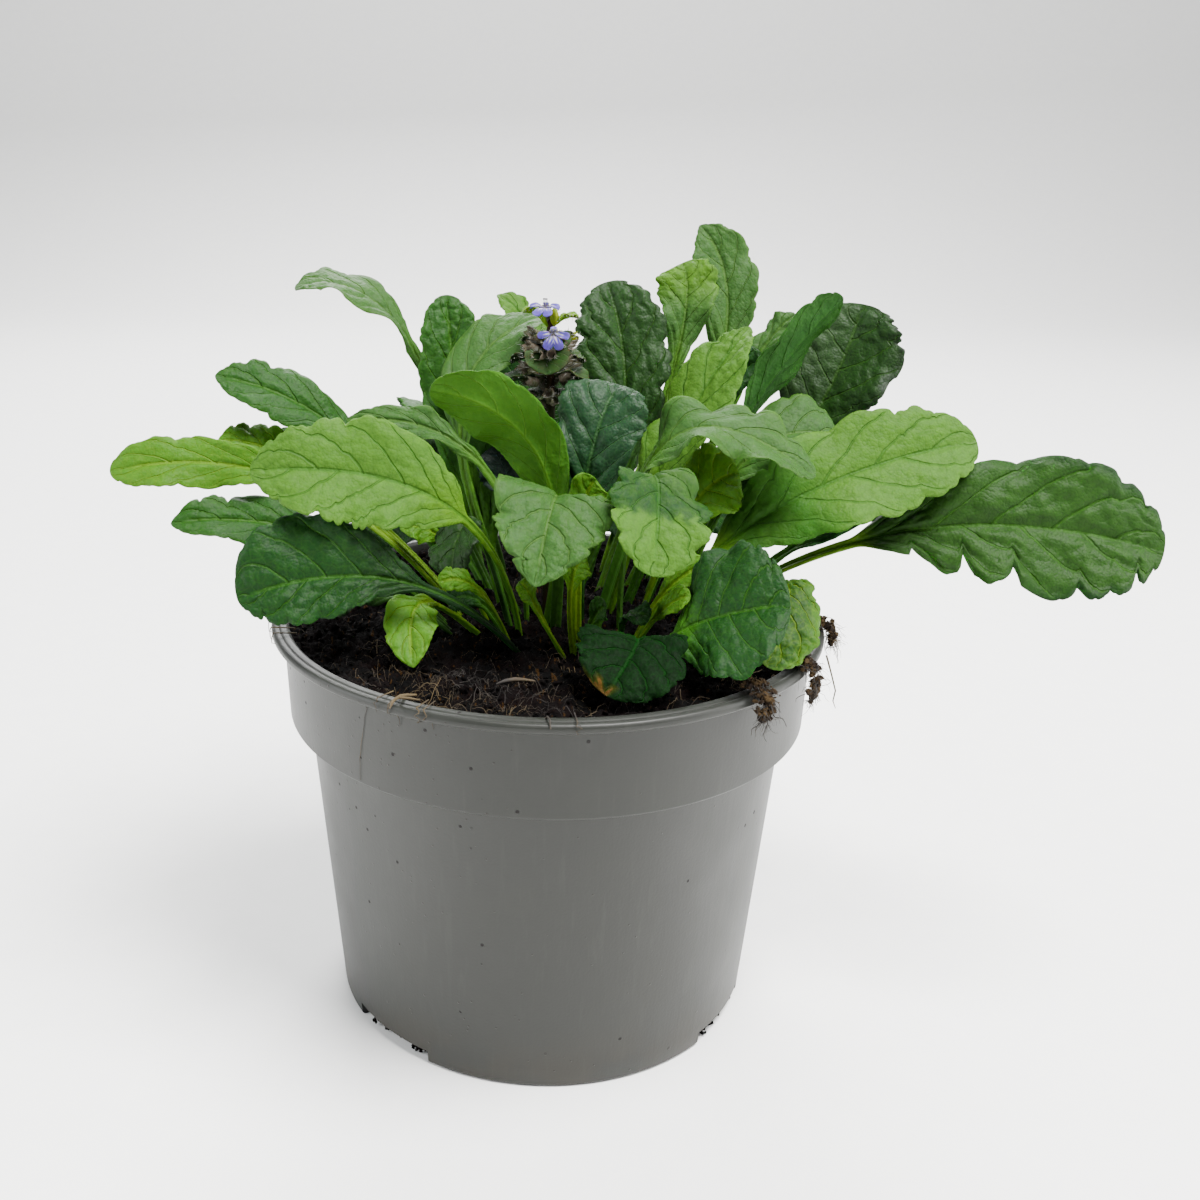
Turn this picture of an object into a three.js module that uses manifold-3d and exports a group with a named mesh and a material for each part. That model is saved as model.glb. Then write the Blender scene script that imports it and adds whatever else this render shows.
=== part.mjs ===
// A bugleweed in its grey nursery pot. Millimetres, +Z up, the pot's underside on Z = 0,
// +X to the viewer's right and +Y away from the viewer.

import * as THREE from 'three';
import { mergeVertices } from 'three/addons/utils/BufferGeometryUtils.js';
import Module from 'manifold-3d';

const wasm = await Module();
wasm.setup();

// Pot sizes: radii and heights of the lip, the collar and the tapering body.
const POT_HEIGHT = 120.7;
const LIP_RADIUS = 84.9;
const LIP_DEPTH = 3.2;
const COLLAR_TOP_RADIUS = 81.2;
const COLLAR_FOOT_RADIUS = 79.6;
const COLLAR_FOOT_HEIGHT = 91.2;
const BODY_TOP_RADIUS = 73.8;
const BODY_FOOT_RADIUS = 63.9;
const POT_WALL = 1.6;
const POT_FLOOR = 2.2;
const POT_SIDES = 48;

// Drain openings cut through the foot of the pot, as angles round from the front.
const DRAIN_ANGLES = [-46, 60, 180];
const DRAIN_SPAN = 28;
const DRAIN_HEIGHT = 4.2;
const DRAIN_INNER_RADIUS = 56;

// Compost: it fills the pot nearly to the lip and rises a little towards the middle.
const SOIL_EDGE_HEIGHT = 117.2;
const SOIL_MOUND = 1.6;
const SOIL_ROUGHNESS = 0.9;
const FIT_GAP = 0.4;

// Leaf sizes shared by every leaf.
const ROOT_DEPTH = 5;
const BLADE_THICKNESS = 0.72;
const SOCKET_GAP = 0.6;

const PALE = 0x8fb83a;
const LIGHT = 0x6fa044;
const MIDDLE = 0x4d8238;
const DARK = 0x2c5a2c;
const BLUISH = 0x2f4f45;

const clamp = (v, low, high) => Math.min(high, Math.max(low, v));
const radians = (degrees) => degrees * Math.PI / 180;

function smooth(v) {
  const u = clamp(v, 0, 1);
  return u * u * (3 - 2 * u);
}

// Every leaf is set by where its foot, its middle and its tip stand. Then come the blade's
// width, the share of the length that is stalk, and whatever differs from these habits.
const HABIT = {
  roll: 0,
  twist: 0,
  heading: null,
  fold: 12,
  curl: 10,
  wave: 1.5,
  waves: 2.5,
  phase: 0,
  teeth: 6,
  notch: 0.1,
  taper: 1.3,
  blunt: 0.5,
  across: 4,
  stalkSteps: 2,
  stalkWidth: 3.4,
  stalkDepth: 2.0,
  colour: MIDDLE,
};

const NARROW = { across: 2, blunt: 0.75 };
const PLAIN = { across: 2 };
const YOUNG = {
  across: 2,
  teeth: 4,
  wave: 0.5,
  stalkWidth: 2.4,
  stalkDepth: 1.5,
  colour: PALE,
};

const leaves = [];

function leaf(name, foot, middle, tip, width, stalk, habit) {
  leaves.push({ ...HABIT, name, foot, middle, tip, width, stalk, ...habit });
}

// Left side of the plant.
leaf('leaf_01', [-22, -4], [-72, -6, 160], [-131, -12, 166], 17, 0.42,
  { ...PLAIN, roll: -55, wave: 2, colour: PALE });
leaf('leaf_02', [-20, 14], [-58, 14, 167], [-104, 12, 191], 22, 0.4, { ...PLAIN, roll: -40, blunt: 0.7 });
leaf('leaf_03', [-22, 6], [-68, 8, 158], [-103, 8, 171], 16, 0.5, { ...NARROW, roll: -35, colour: DARK });
leaf('leaf_04', [-8, -16], [-29, -32, 162], [-84, -40, 174], 33, 0.44,
  { roll: -62, teeth: 7, taper: 0.8, blunt: 0.6, colour: LIGHT });
leaf('leaf_05', [-26, -8], [-66, -11, 145], [-112, -18, 152], 19, 0.4, { ...PLAIN, roll: -35, blunt: 0.7 });
leaf('leaf_06', [-4, -30], [-41, -42, 143], [-86, -52, 141], 32, 0.42,
  { roll: -60, teeth: 7, blunt: 0.6, colour: DARK });
leaf('leaf_07', [-24, -16], [-48, -16, 130], [-74, -16, 125], 20, 0.45,
  { ...PLAIN, roll: -25, taper: 0.9, colour: DARK });
leaf('leaf_08', [-14, -20], [-36, -28, 132], [-38, -50, 121], 16, 0.4,
  { ...NARROW, roll: -20, colour: PALE });
leaf('leaf_09', [-10, -12], [-22, -12, 150], [-29, -22, 137], 22, 0.45,
  { ...PLAIN, roll: -10, colour: BLUISH });
leaf('leaf_10', [-16, -6], [-31, -5, 142], [-45, -8, 148], 12, 0.45, { ...NARROW, roll: -45, colour: LIGHT });
leaf('leaf_11', [-18, 22], [-45, 32, 198], [-81, 28, 216], 24, 0.35, { roll: -10 });
leaf('leaf_12', [-12, 6], [-26, 15, 171], [-33, 28, 215], 24, 0.18, { heading: 100, taper: 0.7 });
leaf('leaf_13', [-6, 0], [-27, 6, 179], [-2, 23, 209], 23, 0.32, { ...PLAIN, heading: 60, colour: LIGHT });
leaf('leaf_14', [-4, 24], [-1, 42, 182], [-17, 52, 212], 16, 0.4, { ...NARROW, heading: 130, colour: LIGHT });
leaf('leaf_15', [-2, -10], [-2, -18, 170], [-35, -26, 195], 23, 0.3, { roll: 60, taper: 0.9, colour: PALE });

// Middle and right side of the plant.
leaf('leaf_16', [10, -6], [11, -14, 167], [21, -2, 192], 28, 0.3,
  { ...PLAIN, heading: 80, taper: 1, colour: BLUISH });
leaf('leaf_17', [6, 14], [24, 22, 170], [19, 42, 218], 32, 0.3, { heading: 90, taper: 1.1, colour: DARK });
leaf('leaf_18', [16, 22], [42, 42, 189], [45, 55, 223], 22, 0.45, { ...PLAIN, heading: 90, colour: LIGHT });
leaf('leaf_19', [24, 24], [59, 50, 191], [52, 66, 235], 23, 0.4, { ...PLAIN, heading: 90, blunt: 0.8 });
leaf('leaf_20', [18, 2], [36, 6, 166], [63, 20, 207], 25, 0.26,
  { ...PLAIN, heading: 50, taper: 1.1, blunt: 0.7, colour: LIGHT });
leaf('leaf_21', [24, 12], [49, 22, 173], [64, 30, 200], 20, 0.4, { ...PLAIN, heading: 60, colour: DARK });
leaf('leaf_22', [32, 22], [63, 40, 181], [83, 45, 207], 12, 0.5, { ...NARROW, heading: 40 });
leaf('leaf_23', [30, 12], [60, 18, 174], [93, 26, 216], 20, 0.35, { ...PLAIN, roll: -60, colour: PALE });
leaf('leaf_24', [38, 14], [81, 28, 166], [103, 40, 212], 40, 0.45,
  { heading: 60, teeth: 7, taper: 0.9, colour: DARK });
leaf('leaf_25', [34, 4], [60, 6, 166], [90, 10, 173], 27, 0.32, { ...PLAIN, roll: 34 });
leaf('leaf_26', [24, -18], [64, -16, 156], [128, -6, 177], 35, 0.34,
  { roll: 55, teeth: 7, taper: 0.85, colour: LIGHT });
leaf('leaf_27', [22, -10], [34, -14, 177], [76, -24, 170], 24, 0.32, { roll: 25, wave: 3, taper: 0.7 });
leaf('leaf_28', [34, -10], [103, -10, 149], [180, -22, 148], 44, 0.42,
  { roll: 62, teeth: 8, wave: 3, taper: 1.0, colour: DARK });
leaf('leaf_29', [38, -2], [78, 0, 142], [121, 8, 160], 13, 0.4, { ...NARROW, roll: 30, colour: DARK });
leaf('leaf_30', [28, -32], [38, -46, 132], [64, -57, 143], 44, 0.4,
  { roll: 45, teeth: 7, taper: 0.8, colour: DARK });
leaf('leaf_31', [40, -16], [66, -30, 140], [59, -54, 124], 22, 0.4, { ...PLAIN, heading: -70, colour: PALE });
leaf('leaf_32', [14, -36], [24, -50, 130], [14, -70, 122], 32, 0.4, { taper: 0.8, colour: DARK });
leaf('leaf_33', [12, -18], [28, -26, 169], [27, -52, 149], 31, 0.42, { colour: LIGHT });
leaf('leaf_34', [2, -14], [2, -30, 164], [-5, -56, 147], 36, 0.42,
  { roll: -16, teeth: 7, taper: 0.9, blunt: 0.75 });
leaf('leaf_35', [26, -8], [40, -12, 153], [56, -12, 168], 25, 0.34, { ...PLAIN, roll: 50, colour: LIGHT });
leaf('leaf_36', [-4, 9], [-9, 8, 150], [-18, 12, 169], 23, 0.4, { ...PLAIN, heading: 120, colour: BLUISH });
leaf('leaf_37', [-6, -4], [-20, -6, 167], [-62, 0, 180], 12, 0.5, { ...NARROW, roll: -40 });

// Back of the plant, leaning away from the viewer.
leaf('leaf_38', [-26, 24], [-58, 48, 152], [-92, 72, 160], 24, 0.42, { ...PLAIN, blunt: 0.6, colour: DARK });
leaf('leaf_39', [-12, 34], [-30, 70, 158], [-46, 110, 160], 28, 0.42, { ...PLAIN, blunt: 0.6 });
leaf('leaf_40', [4, 36], [6, 78, 160], [8, 124, 164], 30, 0.42, { ...PLAIN, blunt: 0.6, colour: DARK });
leaf('leaf_41', [18, 36], [38, 74, 152], [58, 108, 150], 26, 0.42, { ...PLAIN, blunt: 0.6, colour: LIGHT });
leaf('leaf_42', [32, 32], [66, 60, 156], [102, 86, 158], 27, 0.42, { ...PLAIN, blunt: 0.6 });
leaf('leaf_43', [40, 22], [80, 34, 146], [122, 46, 150], 25, 0.42, { ...PLAIN, blunt: 0.6, colour: DARK });

leaf('leaf_44', [-14, 17], [-36, 26, 152], [-56, 36, 166], 26, 0.36,
  { ...PLAIN, blunt: 0.6, roll: -30, colour: DARK });
leaf('leaf_45', [12, 30], [28, 56, 166], [34, 84, 184], 25, 0.42, { ...PLAIN, blunt: 0.6, colour: DARK });
leaf('leaf_46', [40, 8], [58, 13, 154], [78, 17, 162], 24, 0.36, { ...PLAIN, blunt: 0.6, roll: 30 });

// Young leaves at the crown. Those of one shoot share a foot and are joined.
leaf('young_leaf', [9, -20], [9, -20, 152], [13, -21, 168], 12, 0.4, { ...YOUNG, heading: 90 });
leaf('shoot_front', [8, -31], [6, -34, 138], [10, -35, 149], 11, 0.45, { ...YOUNG, heading: 60 });
leaf('shoot_front', [7, -31], [-4, -38, 134], [-9, -40, 143], 9, 0.4, { ...YOUNG, roll: -60 });
leaf('shoot_front', [9, -31], [12, -33, 128], [16, -35, 134], 8, 0.5,
  { ...YOUNG, heading: 60, colour: MIDDLE });
leaf('shoot_right', [22, -27], [32, -28, 134], [46, -30, 146], 9, 0.4, { ...YOUNG, roll: 50 });
leaf('shoot_right', [22, -28], [30, -36, 131], [39, -42, 140], 9, 0.4, { ...YOUNG, roll: 50 });
leaf('shoot_right', [21, -28], [21, -37, 130], [28, -41, 133], 10, 0.4, { ...YOUNG, roll: 20, colour: DARK });
leaf('shoot_left', [-10, -21], [-20, -30, 136], [-32, -33, 140], 8, 0.4, { ...YOUNG, roll: -50 });
leaf('shoot_left', [-11, -20], [-20, -17, 128], [-30, -15, 127], 12, 0.4,
  { ...YOUNG, roll: -40, colour: DARK });

// Skins rings of points into one closed solid. A ring runs over the top from left to right and
// back along the bottom, so that both faces of a blade are split along the same diagonals.
function skin(rings) {
  const n = rings[0].length;
  const half = n / 2;
  const positions = rings.flat().flatMap((p) => [p.x, p.y, p.z]);
  const index = [];
  for (let i = 0; i < rings.length - 1; i += 1) {
    for (let k = 0; k < n; k += 1) {
      const near = i * n + k;
      const nearNext = i * n + (k + 1) % n;
      const far = near + n;
      const farNext = nearNext + n;
      if (k < half) {
        index.push(near, far, farNext, near, farNext, nearNext);
      } else {
        index.push(near, far, nearNext, far, farNext, nearNext);
      }
    }
  }
  const last = (rings.length - 1) * n;
  for (let k = 0; k < half - 1; k += 1) {
    const a = k;
    const b = k + 1;
    const c = n - 2 - k;
    const d = n - 1 - k;
    index.push(a, b, c, a, c, d);
    index.push(last + a, last + c, last + b, last + a, last + d, last + c);
  }
  const geometry = new THREE.BufferGeometry();
  geometry.setAttribute('position', new THREE.Float32BufferAttribute(positions, 3));
  geometry.setIndex(index);
  return geometry;
}

// The line a leaf follows, with the directions along it, across it and out of its upper face.
function leafLine(shape, t) {
  const [footX, footY, footZ = SOIL_EDGE_HEIGHT - ROOT_DEPTH] = shape.foot;
  const foot = new THREE.Vector3(footX, footY, footZ);
  const middle = new THREE.Vector3(...shape.middle);
  const tip = new THREE.Vector3(...shape.tip);
  const knee = middle.clone().multiplyScalar(2).addScaledVector(foot, -0.5).addScaledVector(tip, -0.5);
  const curve = new THREE.QuadraticBezierCurve3(foot, knee, tip);
  const point = curve.getPoint(t);
  const along = curve.getTangent(Math.max(t, 0.001));
  let heading = Math.atan2(tip.y - foot.y, tip.x - foot.x);
  if (shape.heading !== null) heading = radians(shape.heading);
  const level = new THREE.Vector3(-Math.sin(heading), Math.cos(heading), 0);
  level.addScaledVector(along, -level.dot(along)).normalize();
  const upward = new THREE.Vector3().crossVectors(along, level);
  const blade = clamp((t - shape.stalk) / (1 - shape.stalk), 0, 1);
  const rolled = smooth((t - 0.05) / (Math.max(shape.stalk, 0.1) + 0.15));
  const turn = radians(shape.roll * rolled + shape.twist * blade);
  const across = level.clone().multiplyScalar(Math.cos(turn)).addScaledVector(upward, Math.sin(turn));
  const out = upward.clone().multiplyScalar(Math.cos(turn)).addScaledVector(level, -Math.sin(turn));
  return { point, across, out, along, blade };
}

// Half the leaf's width at a place along its blade, with the scallops of its edge.
function halfWidth(shape, blade) {
  const peak = shape.taper / (shape.taper + shape.blunt);
  const top = peak ** shape.taper * (1 - peak) ** shape.blunt;
  const outline = blade ** shape.taper * (1 - blade) ** shape.blunt / top;
  const scallop = Math.abs(Math.sin(2 * shape.teeth * Math.asin(blade))) ** 0.7;
  const edge = 0.5 * shape.width * outline * (1 - shape.notch * (1 - scallop));
  return Math.hypot(edge, 0.5 * shape.stalkWidth * (1 - blade));
}

function leafRing(shape, t) {
  const { point, across, out, blade } = leafLine(shape, t);
  const half = halfWidth(shape, blade);
  const bladeShare = smooth(blade * 5);
  const thickness = shape.stalkDepth + (BLADE_THICKNESS - shape.stalkDepth) * bladeShare;
  const swell = Math.sqrt(Math.sin(Math.PI * clamp(blade * 1.05, 0, 1)));
  const upper = [];
  const lower = [];
  for (let j = 0; j <= shape.across; j += 1) {
    const c = 2 * j / shape.across - 1;
    const reach = Math.abs(c);
    const tilt = radians(shape.fold - shape.curl * reach / 2);
    const side = c > 0 ? 1.9 : 0;
    const ripple = Math.sin(2 * Math.PI * shape.waves * blade + shape.phase + side);
    const sideways = half * c * Math.cos(tilt);
    const rise = half * reach * Math.sin(tilt) * Math.min(1, 3 * blade)
      + shape.wave * swell * reach ** 1.5 * ripple;
    const skinDepth = 0.5 * thickness * (1 - 0.35 * c * c * (1 - bladeShare));
    const middle = point.clone().addScaledVector(across, sideways).addScaledVector(out, rise);
    upper.push(middle.clone().addScaledVector(out, skinDepth));
    lower.unshift(middle.clone().addScaledVector(out, -skinDepth));
  }
  return [...upper, ...lower];
}

function leafSolid(shape) {
  const rings = [];
  for (let i = 0; i < shape.stalkSteps; i += 1) {
    rings.push(leafRing(shape, shape.stalk * i / shape.stalkSteps));
  }
  const bladeSteps = 2 * shape.teeth;
  for (let i = 0; i <= bladeSteps; i += 1) {
    const blade = Math.min(0.985, Math.sin(0.5 * Math.PI * i / bladeSteps));
    rings.push(leafRing(shape, shape.stalk + (1 - shape.stalk) * blade));
  }
  return skin(rings);
}

// A plain square hole in the compost that follows a leaf's stalk until it is clear of it.
function socketSolid(shape) {
  const side = 0.5 * shape.stalkWidth + SOCKET_GAP;
  const depth = 0.5 * shape.stalkDepth + SOCKET_GAP;
  const corners = [[-side, depth], [side, depth], [side, -depth], [-side, -depth]];
  const rings = [];
  for (let i = 0; i <= shape.stalkSteps; i += 1) {
    const { point, across, out, along } = leafLine(shape, shape.stalk * i / shape.stalkSteps);
    if (i === 0) point.addScaledVector(along, -SOCKET_GAP);
    rings.push(corners.map(([a, b]) => (
      point.clone().addScaledVector(across, a).addScaledVector(out, b)
    )));
    if (point.z > SOIL_EDGE_HEIGHT + SOIL_MOUND + 3) break;
  }
  return skin(rings);
}

// Turns a geometry into a solid for joining and cutting, and a solid back into a geometry.
function toSolid(geometry) {
  const bare = new THREE.BufferGeometry();
  bare.setAttribute('position', geometry.getAttribute('position').clone());
  if (geometry.index) bare.setIndex(geometry.index.clone());
  const merged = mergeVertices(bare, 1e-4);
  return new wasm.Manifold(new wasm.Mesh({
    numProp: 3,
    vertProperties: new Float32Array(merged.getAttribute('position').array),
    triVerts: new Uint32Array(merged.index.array),
  }));
}

function toGeometry(solid) {
  const mesh = solid.getMesh();
  const geometry = new THREE.BufferGeometry();
  geometry.setAttribute('position', new THREE.Float32BufferAttribute(mesh.vertProperties, 3));
  geometry.setIndex([...mesh.triVerts]);
  return geometry;
}

// The pot: one turned wall with a rolled lip, a collar and a tapering body.
function potProfile() {
  const inner = COLLAR_TOP_RADIUS - POT_WALL;
  return [
    [0, 0],
    [BODY_FOOT_RADIUS - 1, 0],
    [BODY_FOOT_RADIUS, 1],
    [BODY_TOP_RADIUS, COLLAR_FOOT_HEIGHT],
    [COLLAR_FOOT_RADIUS - 0.5, COLLAR_FOOT_HEIGHT],
    [COLLAR_FOOT_RADIUS, COLLAR_FOOT_HEIGHT + 0.6],
    [COLLAR_TOP_RADIUS, POT_HEIGHT - LIP_DEPTH],
    [LIP_RADIUS - 0.4, POT_HEIGHT - LIP_DEPTH],
    [LIP_RADIUS, POT_HEIGHT - LIP_DEPTH + 0.8],
    [LIP_RADIUS - 0.5, POT_HEIGHT],
    [inner + 0.6, POT_HEIGHT],
    [inner, POT_HEIGHT - 0.8],
    [COLLAR_FOOT_RADIUS - POT_WALL, COLLAR_FOOT_HEIGHT + POT_WALL],
    [BODY_TOP_RADIUS - POT_WALL, COLLAR_FOOT_HEIGHT + POT_WALL],
    [BODY_FOOT_RADIUS - POT_WALL, POT_FLOOR],
    [0, POT_FLOOR],
  ].map(([radius, height]) => new THREE.Vector2(radius, height));
}

function turned(profile, sides) {
  const geometry = new THREE.LatheGeometry(profile, sides);
  geometry.rotateX(Math.PI / 2);
  return geometry;
}

// A curved block that opens one drain through the pot's foot.
function drainBlock(angle) {
  const middle = radians(angle - 90);
  const halfSpan = radians(DRAIN_SPAN / 2);
  const shape = new THREE.Shape();
  shape.absarc(0, 0, BODY_FOOT_RADIUS + 4, middle - halfSpan, middle + halfSpan, false);
  shape.absarc(0, 0, DRAIN_INNER_RADIUS, middle + halfSpan, middle - halfSpan, true);
  shape.closePath();
  const block = new THREE.ExtrudeGeometry(shape, {
    depth: DRAIN_HEIGHT + 1,
    bevelEnabled: false,
    curveSegments: 4,
  });
  block.translate(0, 0, -1);
  return block;
}

function potSolid() {
  let pot = toSolid(turned(potProfile(), POT_SIDES));
  for (const angle of DRAIN_ANGLES) {
    pot = pot.subtract(toSolid(drainBlock(angle)));
  }
  return toGeometry(pot);
}

// Compost: a filling that follows the pot's wall, with a lumpy top and a hole for each stalk.
function soilHeight(x, y) {
  const share = 1 - (x * x + y * y) / COLLAR_TOP_RADIUS ** 2;
  const lumps = Math.sin(0.31 * x + 1.3) * Math.cos(0.27 * y - 0.4) + 0.5 * Math.sin(0.6 * x - 0.45 * y);
  return SOIL_EDGE_HEIGHT + SOIL_MOUND * share + SOIL_ROUGHNESS * lumps * Math.min(1, 4 * share);
}

function soilSolid() {
  const sides = 32;
  const wall = POT_WALL + FIT_GAP;
  const levels = [
    [BODY_FOOT_RADIUS - wall, POT_FLOOR + FIT_GAP],
    [BODY_TOP_RADIUS - wall, COLLAR_FOOT_HEIGHT + POT_WALL + FIT_GAP],
    [COLLAR_FOOT_RADIUS - wall, COLLAR_FOOT_HEIGHT + POT_WALL + FIT_GAP],
    [COLLAR_TOP_RADIUS - wall - 0.2, SOIL_EDGE_HEIGHT],
  ];
  const radii = [0.8, 0.6, 0.4, 0.2].map((share) => share * COLLAR_TOP_RADIUS);
  const positions = [0, 0, POT_FLOOR + FIT_GAP];
  const rings = [...levels, ...radii.map((radius) => [radius, null])];
  for (const [radius, height] of rings) {
    for (let k = 0; k < sides; k += 1) {
      const angle = 2 * Math.PI * k / sides;
      const x = radius * Math.cos(angle);
      const y = radius * Math.sin(angle);
      positions.push(x, y, height ?? soilHeight(x, y));
    }
  }
  positions.push(0, 0, soilHeight(0, 0));
  const index = [];
  const last = 1 + (rings.length - 1) * sides;
  for (let k = 0; k < sides; k += 1) {
    const next = (k + 1) % sides;
    index.push(0, 1 + next, 1 + k);
    index.push(last + sides, last + k, last + next);
    for (let i = 0; i < rings.length - 1; i += 1) {
      const low = 1 + i * sides;
      const high = low + sides;
      index.push(low + k, low + next, high + next, low + k, high + next, high + k);
    }
  }
  const geometry = new THREE.BufferGeometry();
  geometry.setAttribute('position', new THREE.Float32BufferAttribute(positions, 3));
  geometry.setIndex(index);
  let soil = toSolid(geometry);
  for (const shape of leaves) {
    soil = soil.subtract(toSolid(socketSolid(shape)));
  }
  return soil;
}

// The flower spike: a short square stem with three whorls of bracts and a bud at its tip.
const STEM_FOOT = [2, 1];
const STEM_TOP = [1, 5, 211];
const STEM_SIDE = 1.7;
const WHORLS = [
  { height: 190, count: 5, reach: 11.5, drop: -3, width: 10, start: 18 },
  { height: 197, count: 5, reach: 10.5, drop: 1, width: 9, start: 54 },
  { height: 204, count: 4, reach: 8, drop: 3, width: 6, start: 0 },
];

function stemPoint(height) {
  const share = (height - SOIL_EDGE_HEIGHT) / (STEM_TOP[2] - SOIL_EDGE_HEIGHT);
  return new THREE.Vector3(
    STEM_FOOT[0] + (STEM_TOP[0] - STEM_FOOT[0]) * share,
    STEM_FOOT[1] + (STEM_TOP[1] - STEM_FOOT[1]) * share,
    height,
  );
}

function stemRing(height, side) {
  const middle = stemPoint(height);
  const corners = [[-side, side], [side, side], [side, -side], [-side, -side]];
  return corners.map(([x, y]) => new THREE.Vector3(middle.x + x, middle.y + y, height));
}

function stemSolid(grow) {
  const foot = SOIL_EDGE_HEIGHT - ROOT_DEPTH - 2 * grow;
  const sides = [[foot, 1], [165, 1], [200, 1], [STEM_TOP[2], 0.6]];
  return toSolid(skin(sides.map(([height, share]) => stemRing(height, STEM_SIDE * share + grow))));
}

function bract(height, angle, reach, rise, width) {
  const foot = stemPoint(height);
  const ahead = new THREE.Vector3(Math.cos(angle), Math.sin(angle), 0);
  const at = (share, lift) => {
    const place = foot.clone().addScaledVector(ahead, reach * share);
    return [place.x, place.y, height + lift];
  };
  return toSolid(leafSolid({
    ...HABIT,
    ...YOUNG,
    foot: at(0.04, 0),
    middle: at(0.5, rise * 0.5 + 1.5),
    tip: at(1, rise),
    width,
    stalk: 0.12,
    teeth: 2,
    stalkSteps: 1,
    stalkWidth: 2,
    stalkDepth: 1.4,
    notch: 0.04,
    wave: 0,
    fold: 6,
    taper: 0.8,
    blunt: 0.6,
  }));
}

function spikeSolid() {
  let spike = stemSolid(0);
  for (const whorl of WHORLS) {
    for (let i = 0; i < whorl.count; i += 1) {
      const angle = radians(whorl.start + 360 * i / whorl.count);
      spike = spike.add(bract(whorl.height, angle, whorl.reach, whorl.drop, whorl.width));
    }
  }
  for (let i = 0; i < 3; i += 1) {
    const angle = radians(80 + 120 * i);
    spike = spike.add(bract(209, angle, 3.5, 5, 3));
  }
  return spike;
}

// A flower: a narrow tube that opens into a lower lip of three lobes.
const FLOWER_TUBE = 6;
const LOBES = [
  { angle: -90, reach: 6, width: 5.4, heading: 90, roll: 0 },
  { angle: -20, reach: 4.6, width: 3.6, heading: 0, roll: -90 },
  { angle: 200, reach: 4.6, width: 3.6, heading: 180, roll: 90 },
];

function tubeSolid(grow) {
  const rings = [[0, 0.9], [0.6 * FLOWER_TUBE, 1.1], [FLOWER_TUBE, 1.8]].map(([along, radius]) => {
    const ring = [];
    for (let k = 0; k < 6; k += 1) {
      const angle = 2 * Math.PI * k / 6;
      const wide = radius + grow;
      const end = along + (along > 0 ? grow : -grow);
      ring.push(new THREE.Vector3(-wide * Math.cos(angle), end, wide * Math.sin(angle)));
    }
    return ring.reverse();
  });
  return toSolid(skin(rings));
}

function flowerSolid() {
  let flower = tubeSolid(0);
  for (const lobe of LOBES) {
    const angle = radians(lobe.angle);
    const x = Math.cos(angle);
    const z = Math.sin(angle);
    flower = flower.add(toSolid(leafSolid({
      ...HABIT,
      ...YOUNG,
      foot: [0.4 * x, FLOWER_TUBE - 0.6, 0.4 * z],
      middle: [0.5 * lobe.reach * x, FLOWER_TUBE + 0.6, 0.5 * lobe.reach * z],
      tip: [lobe.reach * x, FLOWER_TUBE + 0.2, lobe.reach * z],
      heading: lobe.heading,
      roll: lobe.roll,
      width: lobe.width,
      stalk: 0.1,
      teeth: 2,
      stalkSteps: 1,
      stalkWidth: 2,
      stalkDepth: 0.9,
      notch: 0,
      wave: 0,
      fold: 0,
      curl: 0,
      taper: 0.9,
      blunt: 0.35,
    })));
  }
  return flower;
}

// Places something built along +Y so that it starts at a point and faces a heading and a tilt.
function placement(point, heading, tilt) {
  const turn = new THREE.Euler(radians(tilt), 0, radians(heading), 'ZXY');
  const matrix = new THREE.Matrix4().makeRotationFromEuler(turn);
  return matrix.setPosition(...point);
}

const FLOWERS = [
  { name: 'flower_front', point: [0.5, 0.6, 206.5], heading: 176, tilt: 12 },
  { name: 'flower_top', point: [-0.2, 5.6, 211.2], heading: 80, tilt: 76 },
];

// Tufts of root and peat that hang over the lip, each set by its angle round from the front.
const TUFTS = [
  { name: 'root_tuft_1', angle: 41, hang: 7, thick: 3.4 },
  { name: 'root_tuft_2', angle: 58, hang: 10, thick: 3.6 },
  { name: 'root_tuft_3', angle: 80, hang: 5, thick: 3.2 },
];

function tuftSolid({ angle, hang, thick }) {
  const out = new THREE.Vector3(Math.sin(radians(angle)), -Math.cos(radians(angle)), 0);
  const side = new THREE.Vector3(-out.y, out.x, 0);
  const path = [
    [72, SOIL_EDGE_HEIGHT + 4.2, 0.5],
    [78, POT_HEIGHT + 2.6, 0.8],
    [84, POT_HEIGHT + 2.9, 0.75],
    [LIP_RADIUS + 2.6, POT_HEIGHT - 0.5, 0.8],
    [LIP_RADIUS + 2.8, POT_HEIGHT - hang * 0.6, 0.95],
    [LIP_RADIUS + 2.0, POT_HEIGHT - hang, 0.4],
  ];
  const rings = path.map(([radius, height, share], i) => {
    const before = path[Math.max(0, i - 1)];
    const after = path[Math.min(path.length - 1, i + 1)];
    const slope = Math.atan2(after[1] - before[1], after[0] - before[0]);
    const up = new THREE.Vector3(-out.x * Math.sin(slope), -out.y * Math.sin(slope), Math.cos(slope));
    const middle = out.clone().multiplyScalar(radius).setZ(height);
    const ring = [];
    for (let k = 0; k < 6; k += 1) {
      const turn = Math.PI * (1 - k / 3);
      const lump = 1 + 0.18 * Math.sin(5 * i + 2.3 * k + angle);
      ring.push(middle.clone()
        .addScaledVector(side, thick * share * lump * Math.cos(turn))
        .addScaledVector(up, 0.55 * thick * share * lump * Math.sin(turn)));
    }
    return ring;
  });
  return skin(rings);
}

const group = new THREE.Group();

function add(name, geometry, colour, roughness) {
  geometry.computeVertexNormals();
  const material = new THREE.MeshStandardMaterial({ color: colour, roughness, metalness: 0 });
  const mesh = new THREE.Mesh(geometry, material);
  mesh.name = name;
  group.add(mesh);
}

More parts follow.
